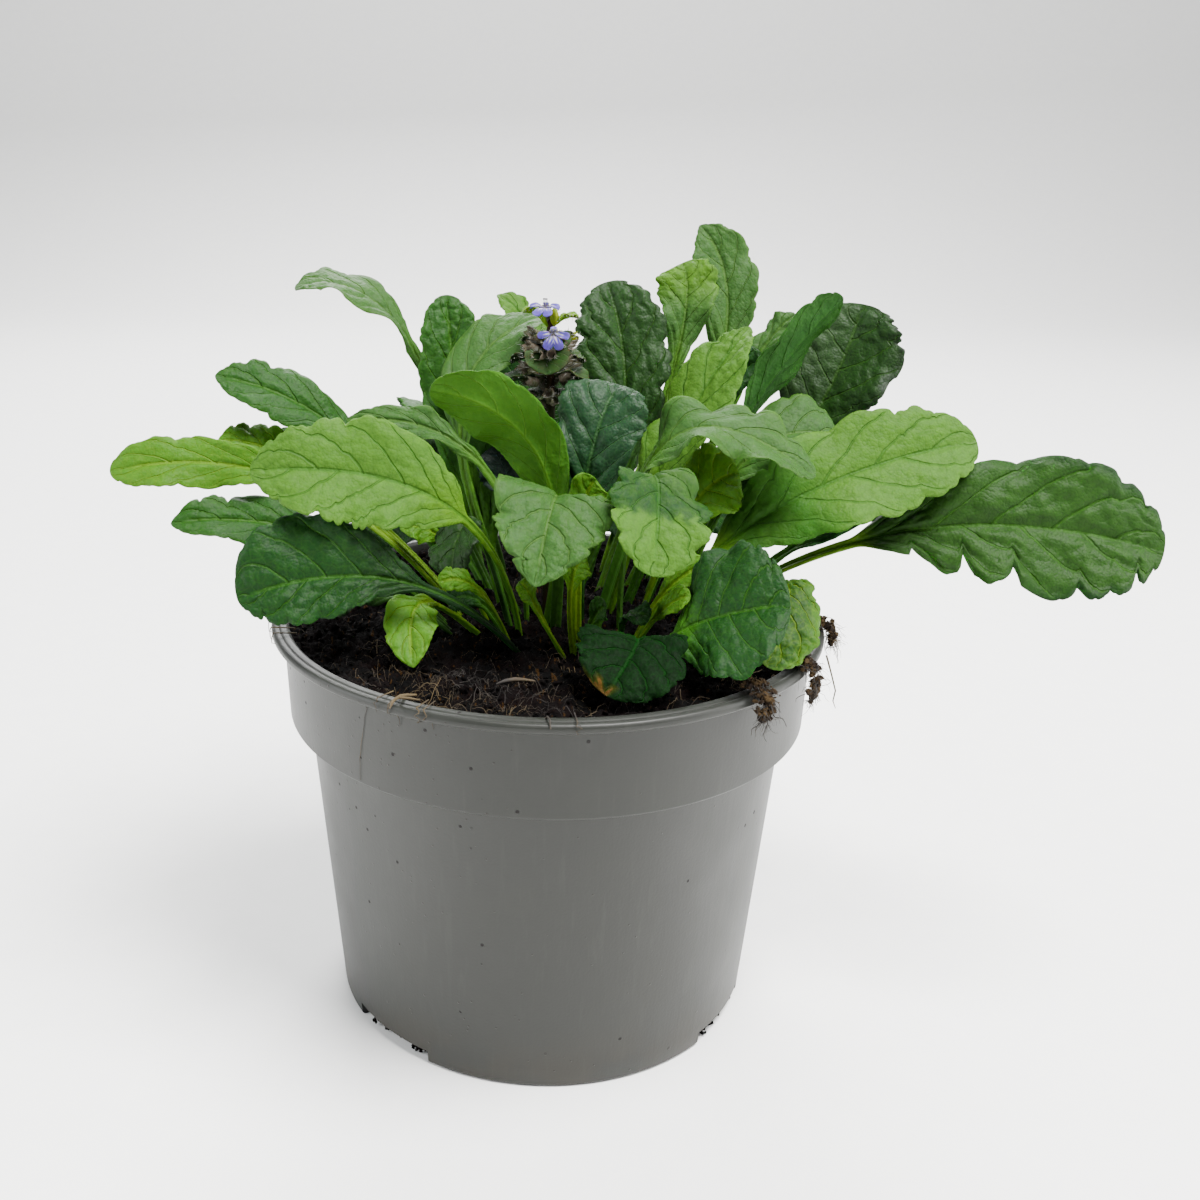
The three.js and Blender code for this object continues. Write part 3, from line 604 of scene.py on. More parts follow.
# What a blade looks like: the colour of its face, of its stalk and the blade's foot, of its edge,
# of its veins and of its underside, how strongly the veins show, how dull and how glossy the face
# is, and how strongly it is quilted.
LOOKS = {
    "lime": dict(face=(106, 168, 6), foot=(146, 192, 16), edge=(122, 176, 36), vein=(160, 200, 60),
                 under=(94, 154, 4), veins=0.5, dull=0.55, gloss=0.15, quilt=0.7),
    "light": dict(face=(114, 166, 76), foot=(126, 180, 14), edge=(126, 175, 84), vein=(72, 128, 28),
                  under=(86, 146, 20), veins=0.5, dull=0.58, gloss=0.14, quilt=0.8),
    "fresh": dict(face=(56, 108, 18), foot=(96, 156, 6), edge=(76, 126, 28), vein=(94, 146, 40),
                  under=(56, 112, 6), veins=0.45, dull=0.52, gloss=0.15, quilt=0.95),
    "sage": dict(face=(84, 130, 68), foot=(100, 156, 14), edge=(98, 142, 66), vein=(112, 154, 76),
                 under=(72, 122, 30), veins=0.5, dull=0.56, gloss=0.16, quilt=0.95),
    "deep": dict(face=(32, 80, 2), foot=(86, 146, 4), edge=(34, 78, 6), vein=(84, 138, 28),
                 under=(42, 100, 0), veins=0.45, dull=0.5, gloss=0.12, quilt=1.2),
    # The shade look is painted shade: darker copies of a blade's colours, for a blade that stands
    # in the shadow of another leaf.
    "shade": dict(face=(4, 46, 0), foot=(40, 96, 0), edge=(8, 52, 0), vein=(36, 90, 8),
                  under=(26, 78, 0), veins=0.45, dull=0.55, gloss=0.03, quilt=1.0),
    "dark": dict(face=(46, 82, 36), foot=(82, 138, 8), edge=(34, 54, 22), vein=(74, 114, 44),
                 under=(48, 88, 20), veins=0.45, dull=0.48, gloss=0.15, quilt=1.3),
    "blue": dict(face=(38, 80, 48), foot=(60, 114, 14), edge=(56, 94, 60), vein=(86, 130, 76),
                 under=(56, 98, 44), veins=0.5, dull=0.48, gloss=0.18, quilt=1.0),
    # The navy look is partly painted shade: a dark blue-green, darkened further for a blade that
    # stands in shadow in the crown.
    "navy_in_shade": dict(face=(22, 44, 38), foot=(40, 76, 20), edge=(30, 54, 46), vein=(46, 76, 60),
                 under=(40, 66, 50), veins=0.4, dull=0.5, gloss=0.12, quilt=0.9),
}
SIDE_VEINS = 5.2


def vein_pattern(along, side, stray):
    """Where the veins of a blade run: side veins that sweep forward, and the midrib."""
    reach = side.maths("ABSOLUTE")
    sweep = along - (reach ** 1.25) * (0.40 - along * 0.12) + side.maths("GREATER_THAN", 0.0) * 0.09
    line = (sweep * SIDE_VEINS + stray * 0.12).maths("FRACT")
    line = (line - 0.5).maths("ABSOLUTE") * 2
    return line, reach


leaf_materials = {}
for look_name, look in LOOKS.items():
    material, wire = start_material("leaf_" + look_name)
    leaf_materials[look_name] = material
    lay = wire.kept("lay")
    sheet = wire.kept("sheet")
    tint = wire.kept("tint", "Color")
    along = lay.part(0)
    side = lay.part(1)
    upper = lay.part(2)
    width = sheet.part(1)
    stray = sheet.noise(0.16, 2)
    line, reach = vein_pattern(along, side, stray)
    in_blade = along.step(0.02, 0.16)
    side_vein = line.step(0.88, 0.985) * in_blade * reach.step(0.99, 0.86)
    midrib = width.maths("ABSOLUTE").step(0.75, 0.2) * along.step(0.97, 0.8)
    net = sheet.cells(0.4, "DISTANCE_TO_EDGE").step(0.11, 0.0) * in_blade
    fine_net = sheet.cells(1.25, "DISTANCE_TO_EDGE").step(0.16, 0.0) * in_blade
    domes = sheet.cells(1.25) ** 2.0 + sheet.cells(0.4) ** 2.0 * 1.5
    mottle = sheet.noise(0.5, 4)
    blotch = sheet.noise(0.07, 2)
    show = (midrib * 1.5 + side_vein + net * 0.3 + fine_net * 0.12).maths("MINIMUM", 1.0)
    show = show * look["veins"]
    colour = (mottle.step(0.35, 0.7) * 0.1).blend(tint, tone(*look["foot"]))
    deep_face = tone(*(0.72 * part for part in look["face"]))
    colour = (domes.step(0.1, 1.2) * 0.3).blend(colour, deep_face)
    colour = (blotch.step(0.5, 0.72) * 0.22).blend(colour, tone(*look["edge"]))
    colour = show.blend(colour, tone(*look["vein"]))
    colour = (upper.step(0.6, 0.4) * 0.75).blend(colour, tone(*look["under"]))
    relief = (side_vein * 0.9 + midrib * 0.5 + domes * 0.33) * (1 - 2 * upper)
    relief = relief + mottle * 0.25
    finish_material(wire, {
        "Base Color": colour,
        "Roughness": look["dull"] + mottle * 0.14 + upper.step(0.6, 0.4) * 0.15,
        "Specular IOR Level": look["gloss"],
        "Subsurface Weight": 0.15,
        "Subsurface Radius": (0.5, 1.0, 0.25),
        "Subsurface Scale": 0.0008,
    }, relief, 0.0004)

# How a leaf grows where nothing else is said. Angles are in degrees and heights in millimetres.
# Heading is the way the leaf faces where that isn't from its foot to its tip. Roll turns its
# blade about its line, fold bends the halves up, and curl bends their edges down. Taper and blunt
# shape the outline towards foot and tip, and lean makes one half wider than the other. Teeth,
# notch, jag and fine are the scallops' number, depth, unevenness and small crimps. Wave, ruffle,
# sag, quilt and net are the heights of the blade's unevenness, waves is the number of its waves,
# and mesh is how fine the net is.
HABIT = dict(roll=0, heading=None, fold=12, curl=10, wave=1.5, waves=2.5, teeth=6,
             notch=0.1, taper=1.3, blunt=0.5, stalk_width=3.4, stalk_depth=2.0, ruffle=1.1,
             quilt=0.8, sag=2.0, jag=1.7, fine=0.38, net=0.3, mesh=0.3, lean=0)
YOUNG = dict(teeth=4, wave=0.5, stalk_width=2.4, stalk_depth=1.5, ruffle=0.8, quilt=0.6,
             sag=0.8, jag=2.4, mesh=0.5)
# How finely a leaf is made: the columns across a face, the rows of the stalk and of each tooth.
GRIDS = {"large": (44, 14, 14), "small": (30, 14, 12), "young": (20, 8, 12), "low": (18, 6, 8),
         "bract": (14, 2, 6), "lobe": (12, 2, 10)}


def leaf(name, foot, middle, tip, width, stalk, look, **habit):
    """A leaf's foot, middle and tip in millimetres, its blade's width, the share of its length
    that is stalk, its look, and what differs from the habit that all leaves share."""
    if len(foot) == 2:
        foot = foot + (SOIL_EDGE_HEIGHT - ROOT_DEPTH,)
    shape = dict(HABIT, name=name, foot=Vector(foot), middle=Vector(middle), tip=Vector(tip),
                 width=width, stalk=stalk, look=look)
    shape.update(habit)
    return shape


def leaf_line(shape, t):
    """The line a leaf follows, with the directions across it and out of its upper face."""
    foot, middle, tip = shape["foot"], shape["middle"], shape["tip"]
    knee = 2 * middle - 0.5 * foot - 0.5 * tip
    point = (1 - t) ** 2 * foot + 2 * t * (1 - t) * knee + t * t * tip
    along = ((1 - t) * (knee - foot) + t * (tip - knee)).normalized()
    heading = math.atan2(tip.y - foot.y, tip.x - foot.x)
    if shape["heading"] is not None:
        heading = math.radians(shape["heading"])
    level = Vector((-math.sin(heading), math.cos(heading), 0))
    level = (level - along * level.dot(along)).normalized()
    upward = along.cross(level)
    blade = clamp((t - shape["stalk"]) / (1 - shape["stalk"]))
    rolled = smooth((t - 0.05) / (max(shape["stalk"], 0.1) + 0.15))
    turn = math.radians(shape["roll"] * rolled)
    across = level * math.cos(turn) + upward * math.sin(turn)
    out = upward * math.cos(turn) - level * math.sin(turn)
    return point, across, out, blade


def half_width(shape, blade, depth=1.0, slip=0.0):
    """Half the leaf's width at a place along its blade, and how far out its scallop stands."""
    taper, blunt = shape["taper"], shape["blunt"]
    peak = taper / (taper + blunt)
    top = peak ** taper * (1 - peak) ** blunt
    outline = blade ** taper * (1 - blade) ** blunt / top
    turn = 2 * shape["teeth"] * math.asin(blade) + slip
    scallop = abs(math.sin(turn)) ** 0.6
    crimp = abs(math.sin(2.35 * turn + 2.2 * slip + 0.6)) ** 0.6
    fine = shape["fine"]
    bite = shape["notch"] * depth * ((1 - fine) * (1 - scallop) + fine * (1 - crimp))
    edge = 0.5 * shape["width"] * outline * (1 - bite)
    return math.hypot(edge, 0.5 * shape["stalk_width"] * (1 - blade)), scallop


def quilt_height(shape, blade, c, along_mm, across_mm, seed):
    """How far the blade bulges between its veins, in millimetres."""
    reach = abs(c)
    stray = noise.noise(Vector((0.16 * along_mm, 0.16 * across_mm, seed)))
    sweep = blade - reach ** 1.25 * (0.40 - 0.12 * blade) + (0.09 if c > 0 else 0)
    line = SIDE_VEINS * sweep + 0.2 * stray
    across_vein = abs(2 * (line % 1) - 1)
    pillow = 1 - across_vein ** 3
    rung = 2.6 * reach + 0.37 * math.floor(line) + 0.5 * stray
    pillow *= 1 - 0.45 * abs(2 * (rung % 1) - 1) ** 4
    window = smooth((reach - 0.03) / 0.16) * smooth((1.03 - reach) / 0.22)
    window *= smooth(blade / 0.22) * smooth((1 - blade) / 0.1)
    return pillow * window * (0.8 + 0.5 * stray)


def net_height(shape, blade, c, along_mm, across_mm, seed):
    """The small cushions between a blade's finest veins, from 0 at a vein to 1 on a cushion."""
    spot = Vector((along_mm, across_mm, seed)) * shape["mesh"]
    near = noise.voronoi(spot, distance_metric="DISTANCE", exponent=2.5)[0]
    window = smooth((1.03 - abs(c)) / 0.15) * smooth(blade / 0.2) * smooth((1 - blade) / 0.06)
    return smooth((near[1] - near[0]) / 0.45) * window


def mix(a, b, share):
    """A colour between two others."""
    return tuple(p + (q - p) * share for p, q in zip(a, b))


def grow_leaf(bm, shape, grid, seed, patch=None):
    """Adds one leaf to a mesh: a grid whose columns run over the upper face and back under the
    lower one, moved into the leaf's place row by row and closed at both ends."""
    columns, stalk_rows, tooth_rows = GRIDS[grid]
    look = LOOKS[shape["look"]]
    face, foot, edge_tone = (tone(*look[key]) for key in ("face", "foot", "edge"))
    blade_rows = tooth_rows * shape["teeth"]
    rows = stalk_rows + blade_rows
    around = 2 * columns + 2
    lay = bm.verts.layers.float_vector.get("lay") or bm.verts.layers.float_vector.new("lay")
    sheet = bm.verts.layers.float_vector.get("sheet") or bm.verts.layers.float_vector.new("sheet")
    tint = bm.verts.layers.float_color.get("tint") or bm.verts.layers.float_color.new("tint")
    made = bmesh.ops.create_grid(bm, x_segments=around, y_segments=rows, size=1)["verts"]
    by_row = {}
    for vert in made:
        row = round((vert.co.y + 1) / 2 * rows)
        by_row.setdefault(row, []).append((round((vert.co.x + 1) / 2 * around) % around, vert))
    before = None
    along_mm = 0.0
    for row in range(rows + 1):
        if row < stalk_rows:
            t = shape["stalk"] * row / stalk_rows
        else:
            spread = math.sin(0.5 * math.pi * (row - stalk_rows) / blade_rows)
            t = shape["stalk"] + (1 - shape["stalk"]) * min(0.9997, spread)
        point, across, out, blade = leaf_line(shape, t)
        if before is not None:
            along_mm += (point - before).length
        before = point
        tooth = int(2 * shape["teeth"] * math.asin(blade) / math.pi)
        halves = []
        for side in (-1, 1):
            luck = noise.noise(Vector((0.9 * tooth, 3.1 * side, seed + 0.5)))
            drift = noise.noise(Vector((3 * blade, 5.3 * side, seed + 9)))
            slip = 2.6 * math.sin(math.pi * blade) * drift
            depth = shape["jag"] * (1 + 1.1 * luck)
            if patch and patch.get("lobed") == side:
                depth *= 1.9
            half, scallop = half_width(shape, blade, max(0.2, depth), slip)
            halves.append((half * (1 + shape["lean"] * side * smooth(blade * 4)), scallop))
        bladed = smooth(blade * 5)
        thickness = shape["stalk_depth"] + (BLADE_THICKNESS - shape["stalk_depth"]) * bladed
        swell = math.sqrt(max(0, math.sin(math.pi * clamp(blade * 1.05))))
        rises = {}
        for column, vert in by_row[row]:
            over = column <= columns
            c = 2 * column / columns - 1 if over else 1 - 2 * (column - columns - 1) / columns
            half, scallop = halves[1 if c > 0 else 0]
            reach = abs(c)
            tilt = math.radians(shape["fold"] - shape["curl"] * reach / 2)
            sideways = half * c * math.cos(tilt)
            key = round(c, 5)
            if key not in rises:
                beat = 2 * math.pi * shape["waves"] * blade
                ripple = math.sin(beat + (1.9 if c > 0 else 0))
                rise = half * reach * math.sin(tilt) * min(1, 3 * blade)
                rise += shape["wave"] * swell * reach ** 1.5 * ripple
                frill = reach ** 5 * (scallop - 0.5) * smooth(blade * 4) * smooth((1 - blade) * 6)
                rise += shape["ruffle"] * frill
                quilt = shape["quilt"] * quilt_height(shape, blade, c, along_mm, half * c, seed)
                quilt += shape["net"] * net_height(shape, blade, c, along_mm, half * c, seed)
                rise += look["quilt"] * quilt
                sag = noise.noise(Vector((0.045 * along_mm, 0.06 * half * c, seed + 40)))
                rise += shape["sag"] * sag * swell * (0.25 + reach) * smooth(blade * 4)
                rises[key] = rise
            rise = rises[key]
            groove = math.exp(-(half * c / 0.55) ** 2) * smooth(blade * 6) * (1 - blade)
            body = 0.5 * thickness
            stalk_side = math.sqrt(max(0, 1 - c * c))
            blade_side = 1 - 0.6 * reach ** 6
            if over:
                stalk_top = stalk_side * (1 - 0.75 * math.exp(-(c / 0.5) ** 2))
                offset = body * (stalk_top + (blade_side - stalk_top) * bladed) - 0.3 * groove
            else:
                offset = -body * (stalk_side + (blade_side - stalk_side) * bladed) - 0.55 * groove
            vert.co = (point + across * sideways + out * (rise + offset)) * MM
            vert[lay] = (blade, c, 1.0 if over else 0.0)
            vert[sheet] = (along_mm, half * c, seed)
            inward = 0.5 * (reach - 0.5) * (blade > 0)
            colour = mix(foot, face, smooth((blade - 0.06) / 0.3 + inward))
            colour = mix(colour, edge_tone, 0.7 * smooth((reach - 0.86) / 0.14) * (blade > 0.1))
            if patch:
                colour = patch["colour"](colour, blade, c)
            vert[tint] = colour
    bmesh.ops.remove_doubles(bm, verts=made, dist=1e-7)
    ends = [edge for edge in bm.edges if edge.is_boundary]
    bmesh.ops.holes_fill(bm, edges=ends, sides=0)


def brown_tip(colour, blade, c):
    """A dead patch on one side of a leaf's tip."""
    wobble = 0.06 * noise.noise(Vector((9 * blade, 5 * c, 2)))
    dead = smooth((blade + wobble - 0.955) / 0.02) * smooth((0.1 + wobble - c) / 0.12)
    rim = smooth((blade + wobble - 0.92) / 0.03) * smooth((0.25 + wobble - c) / 0.12)
    colour = mix(colour, tone(84, 84, 22), 0.6 * rim)
    return mix(colour, tone(130, 98, 66), dead)


def glowing(colour, blade, c):
    """A blade seen from its shaded side, where the light comes through it."""
    return mix(tone(44, 92, 0), tone(70, 118, 4), smooth(blade * 1.4 - 0.4 * abs(c)))


def shaded(colour, blade, c):
    """A narrow blade that is deep green in its middle and paler towards its edge."""
    away = smooth(1.2 * abs(c) - 0.2 + 0.5 * (blade - 0.5))
    return mix(tone(30, 76, 0), tone(74, 124, 8), away)


def dark_edge(colour, blade, c):
    """A large mature blade on a pale stalk, darker round its tip."""
    rim = smooth((abs(c) - 0.75) / 0.25) * smooth(blade * 2 - 0.6)
    face = mix(tone(68, 106, 50), tone(34, 68, 10), rim)
    return mix(tone(138, 186, 60), face, smooth(blade / 0.1))


def crinkled(colour, blade, c):
    """A young blade that is yellow-green at its edge and darker inside."""
    return mix(tone(46, 90, 10), tone(90, 142, 14), smooth((abs(c) - 0.45) / 0.5))


def glowing_foot(colour, blade, c):
    """The foot of a blade in its own shade, where the light comes through it."""
    foot = mix(tone(138, 188, 50), tone(72, 134, 4), smooth(blade / 0.15))
    return mix(foot, colour, smooth((blade - 0.34) / 0.2))


def folded(colour, blade, c):
    """A leaf that bends over: its foot is in the shade of the bend."""
    wobble = 0.05 * noise.noise(Vector((6 * c, 2, 5)))
    return mix(tone(32, 82, 0), colour, smooth((blade - 0.72 + wobble) / 0.05))


def dull_foot(colour, blade, c):
    """A blade whose half near the stalk is darker, as it stands in the shade of the crown."""
    return mix(tone(24, 62, 0), colour, smooth((blade - 0.2) / 0.4))


def sunlit(colour, blade, c):
    """A dark blade that is paler towards its tip."""
    return mix(colour, tone(124, 178, 66), 0.85 * smooth((blade - 0.4) / 0.35))


def painted_sheen_dark_edge(colour, blade, c):
    """A mature blade with a painted grey-green sheen that fades out towards its left edge, and
    darker round its edge and on its left half.
    """
    # Darker round the edge and on the left half.
    flush = 0.5 * smooth(-0.2 - c) + 0.5 * smooth((abs(c) - 0.8) / 0.2)
    # Painted sheen: a pale grey-green highlight mixed over the blade, strongest on its right side.
    colour = mix(colour, tone(82, 106, 74), 0.6 * smooth(c + 0.4))
    return mix(colour, tone(34, 42, 34), 0.7 * flush)


PATCHES = {
    "leaf_32": dict(colour=brown_tip),
    "leaf_15": dict(colour=glowing),
    "leaf_31": dict(colour=crinkled),
    "leaf_28": dict(colour=dark_edge, lobed=-1),
    "leaf_26": dict(colour=glowing_foot),
    "leaf_33": dict(colour=folded),
    "leaf_23": dict(colour=shaded),
    "leaf_18": dict(colour=sunlit),
    "leaf_24": dict(colour=painted_sheen_dark_edge),
    "leaf_06": dict(colour=dull_foot, lobed=1),
}

# Left side of the plant.
leaves = [
    leaf("leaf_01", (-22, -4), (-72, -6, 160), (-131, -12, 166), 17, 0.42, "lime", roll=-55,
         wave=2),
    leaf("leaf_02", (-20, 14), (-58, 14, 167), (-104, 12, 191), 22, 0.4, "fresh", roll=-40,
         blunt=0.7, jag=2.1),
    # leaf_03 takes the paler lime look as painted light, for the light that comes through it under
    # the leaves above.
    leaf("leaf_03", (-22, 6), (-68, 8, 158), (-103, 8, 171), 16, 0.5, "lime", roll=-35, blunt=0.75),
    leaf("leaf_04", (-8, -16), (-29, -32, 162), (-84, -40, 174), 33, 0.44, "light", roll=-62,
         teeth=7,
         taper=0.8, blunt=0.6, jag=1.8),
    leaf("leaf_05", (-26, -8), (-66, -11, 145), (-112, -18, 152), 19, 0.4, "fresh", roll=-35,
         blunt=0.7),
    leaf("leaf_06", (-4, -30), (-41, -42, 143), (-86, -52, 141), 32, 0.42, "deep", roll=-60,
         teeth=7,
         blunt=0.6, jag=1.2, lean=-0.2),
    leaf("leaf_07", (-24, -16), (-48, -16, 130), (-74, -16, 125), 20, 0.45, "dark", roll=-25,
         taper=0.9),
    leaf("leaf_08", (-14, -20), (-36, -28, 132), (-38, -50, 121), 16, 0.4, "lime", roll=-20,
         blunt=0.75),
    leaf("leaf_09", (-10, -12), (-22, -12, 150), (-29, -22, 137), 22, 0.45, "dark", roll=-10),
    leaf("leaf_10", (-16, -6), (-31, -5, 142), (-45, -8, 148), 12, 0.45, "lime", roll=-45,
         blunt=0.75),
    leaf("leaf_11", (-18, 22), (-45, 32, 198), (-81, 28, 216), 24, 0.35, "sage", roll=-10),
    leaf("leaf_12", (-12, 6), (-26, 15, 171), (-33, 28, 215), 24, 0.18, "fresh", heading=100,
         taper=0.7, net=0.7, jag=1.8),
    leaf("leaf_13", (-6, 0), (-27, 6, 179), (-2, 23, 209), 23, 0.32, "sage", heading=60),
    leaf("leaf_14", (-4, 24), (-1, 42, 182), (-17, 52, 212), 16, 0.4, "light", heading=130,
         blunt=0.75),
    leaf("leaf_15", (-2, -10), (-2, -18, 170), (-35, -26, 195), 23, 0.3, "lime", roll=60,
         taper=0.9, jag=0.7),
]

# Middle and right side.
leaves += [
    leaf("leaf_16", (10, -6), (11, -14, 167), (21, -2, 192), 28, 0.3, "blue", heading=80, taper=1,
         quilt=1.3),
    leaf("leaf_17", (6, 14), (24, 22, 170), (19, 42, 218), 32, 0.3, "dark", heading=90, taper=1.1,
         quilt=1.2, jag=2),
    leaf("leaf_18", (16, 22), (42, 42, 189), (45, 55, 223), 22, 0.45, "sage", heading=90),
    leaf("leaf_19", (24, 24), (59, 50, 191), (52, 66, 235), 23, 0.4, "sage", heading=90, blunt=0.8,
         jag=2),
    leaf("leaf_20", (18, 2), (36, 6, 166), (63, 20, 207), 25, 0.26, "light", heading=50, taper=1.1,
         blunt=0.7, jag=3, net=0.7),
    leaf("leaf_21", (24, 12), (49, 22, 173), (64, 30, 200), 20, 0.4, "deep", heading=60),
    leaf("leaf_22", (32, 22), (63, 40, 181), (83, 45, 207), 12, 0.5, "sage", heading=40,
         blunt=0.75),
    leaf("leaf_23", (30, 12), (60, 18, 174), (93, 26, 216), 20, 0.35, "fresh", roll=-60),
    leaf("leaf_24", (38, 14), (81, 28, 166), (103, 40, 212), 40, 0.45, "dark", heading=60, teeth=7,
         taper=0.9, quilt=0.5, net=0.45, mesh=0.17, sag=1),
    leaf("leaf_25", (34, 4), (60, 6, 166), (90, 10, 173), 27, 0.32, "sage", roll=34),
    leaf("leaf_26", (24, -18), (64, -16, 156), (128, -6, 177), 35, 0.34, "light", roll=55, teeth=7,
         taper=0.85, jag=2),
    leaf("leaf_27", (22, -10), (34, -14, 177), (76, -24, 170), 24, 0.32, "sage", roll=25, wave=3,
         taper=0.7, jag=2.6, fine=0.15, ruffle=3),
    leaf("leaf_28", (34, -10), (103, -10, 149), (180, -22, 148), 44, 0.42, "deep", roll=62, wave=3,
         teeth=8, taper=1, quilt=1.5, jag=1.7, fine=0.14),
    leaf("leaf_29", (38, -2), (78, 0, 142), (121, 8, 160), 13, 0.4, "deep", roll=30, blunt=0.75),
    leaf("leaf_30", (28, -32), (38, -46, 132), (64, -57, 143), 44, 0.4, "deep", roll=45, teeth=7,
         taper=0.8, jag=1.3),
    leaf("leaf_31", (40, -16), (66, -30, 140), (59, -54, 124), 22, 0.4, "lime", heading=-70,
         quilt=1.2, net=0.9, mesh=0.4, jag=2.6),
    leaf("leaf_32", (14, -36), (24, -50, 130), (14, -70, 122), 32, 0.4, "shade", taper=0.8),
    leaf("leaf_33", (12, -18), (28, -26, 169), (27, -52, 149), 31, 0.42, "light", jag=2.6,
         fine=0.22),
    leaf("leaf_34", (2, -14), (2, -30, 164), (-5, -56, 147), 36, 0.42, "sage", roll=-16, teeth=7,
         taper=0.9, blunt=0.75, jag=2.2, fine=0.25, quilt=1.1),
    leaf("leaf_35", (26, -8), (40, -12, 153), (56, -12, 168), 25, 0.34, "lime", roll=50),
    leaf("leaf_36", (-4, 9), (-9, 8, 150), (-18, 12, 169), 23, 0.4, "navy_in_shade", heading=120),
    leaf("leaf_37", (-6, -4), (-20, -6, 167), (-62, 0, 180), 12, 0.5, "sage", roll=-40, blunt=0.75),
]

# Back of the plant.
leaves += [
    leaf("leaf_38", (-26, 24), (-58, 48, 152), (-92, 72, 160), 24, 0.42, "deep", blunt=0.6),
    leaf("leaf_39", (-12, 34), (-30, 70, 158), (-46, 110, 160), 28, 0.42, "fresh", blunt=0.6),
    leaf("leaf_40", (4, 36), (6, 78, 160), (8, 124, 164), 30, 0.42, "deep", blunt=0.6),
    leaf("leaf_41", (18, 36), (38, 74, 152), (58, 108, 150), 26, 0.42, "light", blunt=0.6),
    leaf("leaf_42", (32, 32), (66, 60, 156), (102, 86, 158), 27, 0.42, "fresh", blunt=0.6),
    leaf("leaf_43", (40, 22), (80, 34, 146), (122, 46, 150), 25, 0.42, "deep", blunt=0.6),
    leaf("leaf_44", (-14, 17), (-36, 26, 152), (-56, 36, 166), 26, 0.36, "dark", blunt=0.6,
         roll=-30),
    leaf("leaf_45", (12, 30), (28, 56, 166), (34, 84, 184), 25, 0.42, "dark", blunt=0.6),
    leaf("leaf_46", (40, 8), (58, 13, 154), (78, 17, 162), 24, 0.36, "fresh", blunt=0.6, roll=30),
]

for number, shape in enumerate(leaves):
    bm = bmesh.new()
    grow_leaf(bm, shape, "large" if shape["width"] > 28 else "small", 11.3 * number,
              PATCHES.get(shape["name"]))
    bmesh.ops.recalc_face_normals(bm, faces=bm.faces)
    shade(bm)
    blade = add_object("bugle_" + shape["name"], bm, leaf_materials[shape["look"]])
    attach(blade, "root")
    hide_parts(shape["name"])

# ---------------------------------------------------------------------------------------------
# The young growth. Small crinkled leaves of bright yellow-green that come up at the crown, in
# front of the large stalks: one leaf on its own and three shoots that have two or three each.
# ---------------------------------------------------------------------------------------------



def paint_faces(bm, known, index):
    """Gives the faces that are new since a mesh had a known number one of its materials."""
    bm.faces.ensure_lookup_table()
    for face in bm.faces[known:]:
        face.material_index = index


shoots = [
    leaf("young_leaf", (9, -20), (9, -20, 152), (13, -21, 168), 12, 0.4, "lime", heading=90,
         **YOUNG),
    leaf("shoot_front", (8, -31), (6, -34, 138), (10, -35, 149), 11, 0.45, "lime", heading=60,
         **YOUNG),
    leaf("shoot_front", (7, -31), (-4, -38, 134), (-9, -40, 143), 9, 0.4, "lime", roll=-60,
         **YOUNG),
    leaf("shoot_front", (9, -31), (12, -33, 128), (16, -35, 134), 8, 0.5, "fresh", heading=60,
         **YOUNG),
    leaf("shoot_right", (22, -27), (32, -28, 134), (46, -30, 146), 9, 0.4, "lime", roll=50,
         **YOUNG),
    leaf("shoot_right", (22, -28), (30, -36, 131), (39, -42, 140), 9, 0.4, "lime", roll=50,
         **YOUNG),
    leaf("shoot_right", (21, -28), (21, -37, 130), (28, -41, 133), 10, 0.4, "deep", roll=20,
         **YOUNG),
    leaf("shoot_left", (-10, -21), (-20, -30, 136), (-32, -33, 140), 8, 0.4, "lime", roll=-50,
         **YOUNG),
    leaf("shoot_left", (-11, -20), (-20, -17, 128), (-30, -15, 127), 12, 0.4, "deep", roll=-40,
         **YOUNG),
]
for name in ("young_leaf", "shoot_front", "shoot_right", "shoot_left"):
    bm = bmesh.new()
    looks = []
    for number, shape in enumerate(shoots):
        if shape["name"] == name:
            known = len(bm.faces)
            grow_leaf(bm, shape, "young", 5.1 * number + 300)
            if shape["look"] not in looks:
                looks.append(shape["look"])
            paint_faces(bm, known, looks.index(shape["look"]))
    bmesh.ops.recalc_face_normals(bm, faces=bm.faces)
    shade(bm)
    shoot = add_object("bugle_" + name, bm, leaf_materials[looks[0]])
    for look_name in looks[1:]:
        shoot.data.materials.append(leaf_materials[look_name])
    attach(shoot, "root")
    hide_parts(name)

# ---------------------------------------------------------------------------------------------
# The low leaves. Four dark leaves of the rosette that grow behind the crown, under the taller
# ones, where they fill the gaps between the stalks.
# ---------------------------------------------------------------------------------------------

low_leaves = [
    leaf("low", (-18, 22), (-36, 38, 134), (-66, 50, 127), 20, 0.35, "deep", roll=-55, jag=1.6),
    leaf("low", (4, 32), (14, 46, 135), (34, 58, 128), 18, 0.35, "deep", roll=55, jag=1.6),
    leaf("low", (34, 24), (48, 36, 138), (72, 44, 131), 18, 0.35, "deep", roll=55, jag=1.6),
    leaf("low", (0, 24), (-5, 31, 158), (-6, 38, 202), 27, 0.3, "deep", heading=85, taper=0.9),
]
bm = bmesh.new()
for number, shape in enumerate(low_leaves):
    grow_leaf(bm, shape, "low", 7.3 * number + 500)
bmesh.ops.recalc_face_normals(bm, faces=bm.faces)
shade(bm)
low_growth = add_object("bugle_low_leaves", bm, leaf_materials["deep"])
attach(low_growth, "root")

# ---------------------------------------------------------------------------------------------
# The flower spike. A short square stem with whorls of broad, cupped, hairy bracts, dull green
# flushed with purple, and hairy calyces packed between them.
# ---------------------------------------------------------------------------------------------

STEM_FOOT = (0.4, 1)
STEM_TOP = (-0.2, 5, 211)
STEM_SIDE = 1.7
BRACT_CUP = 22
BRACT_TOE = 0.04
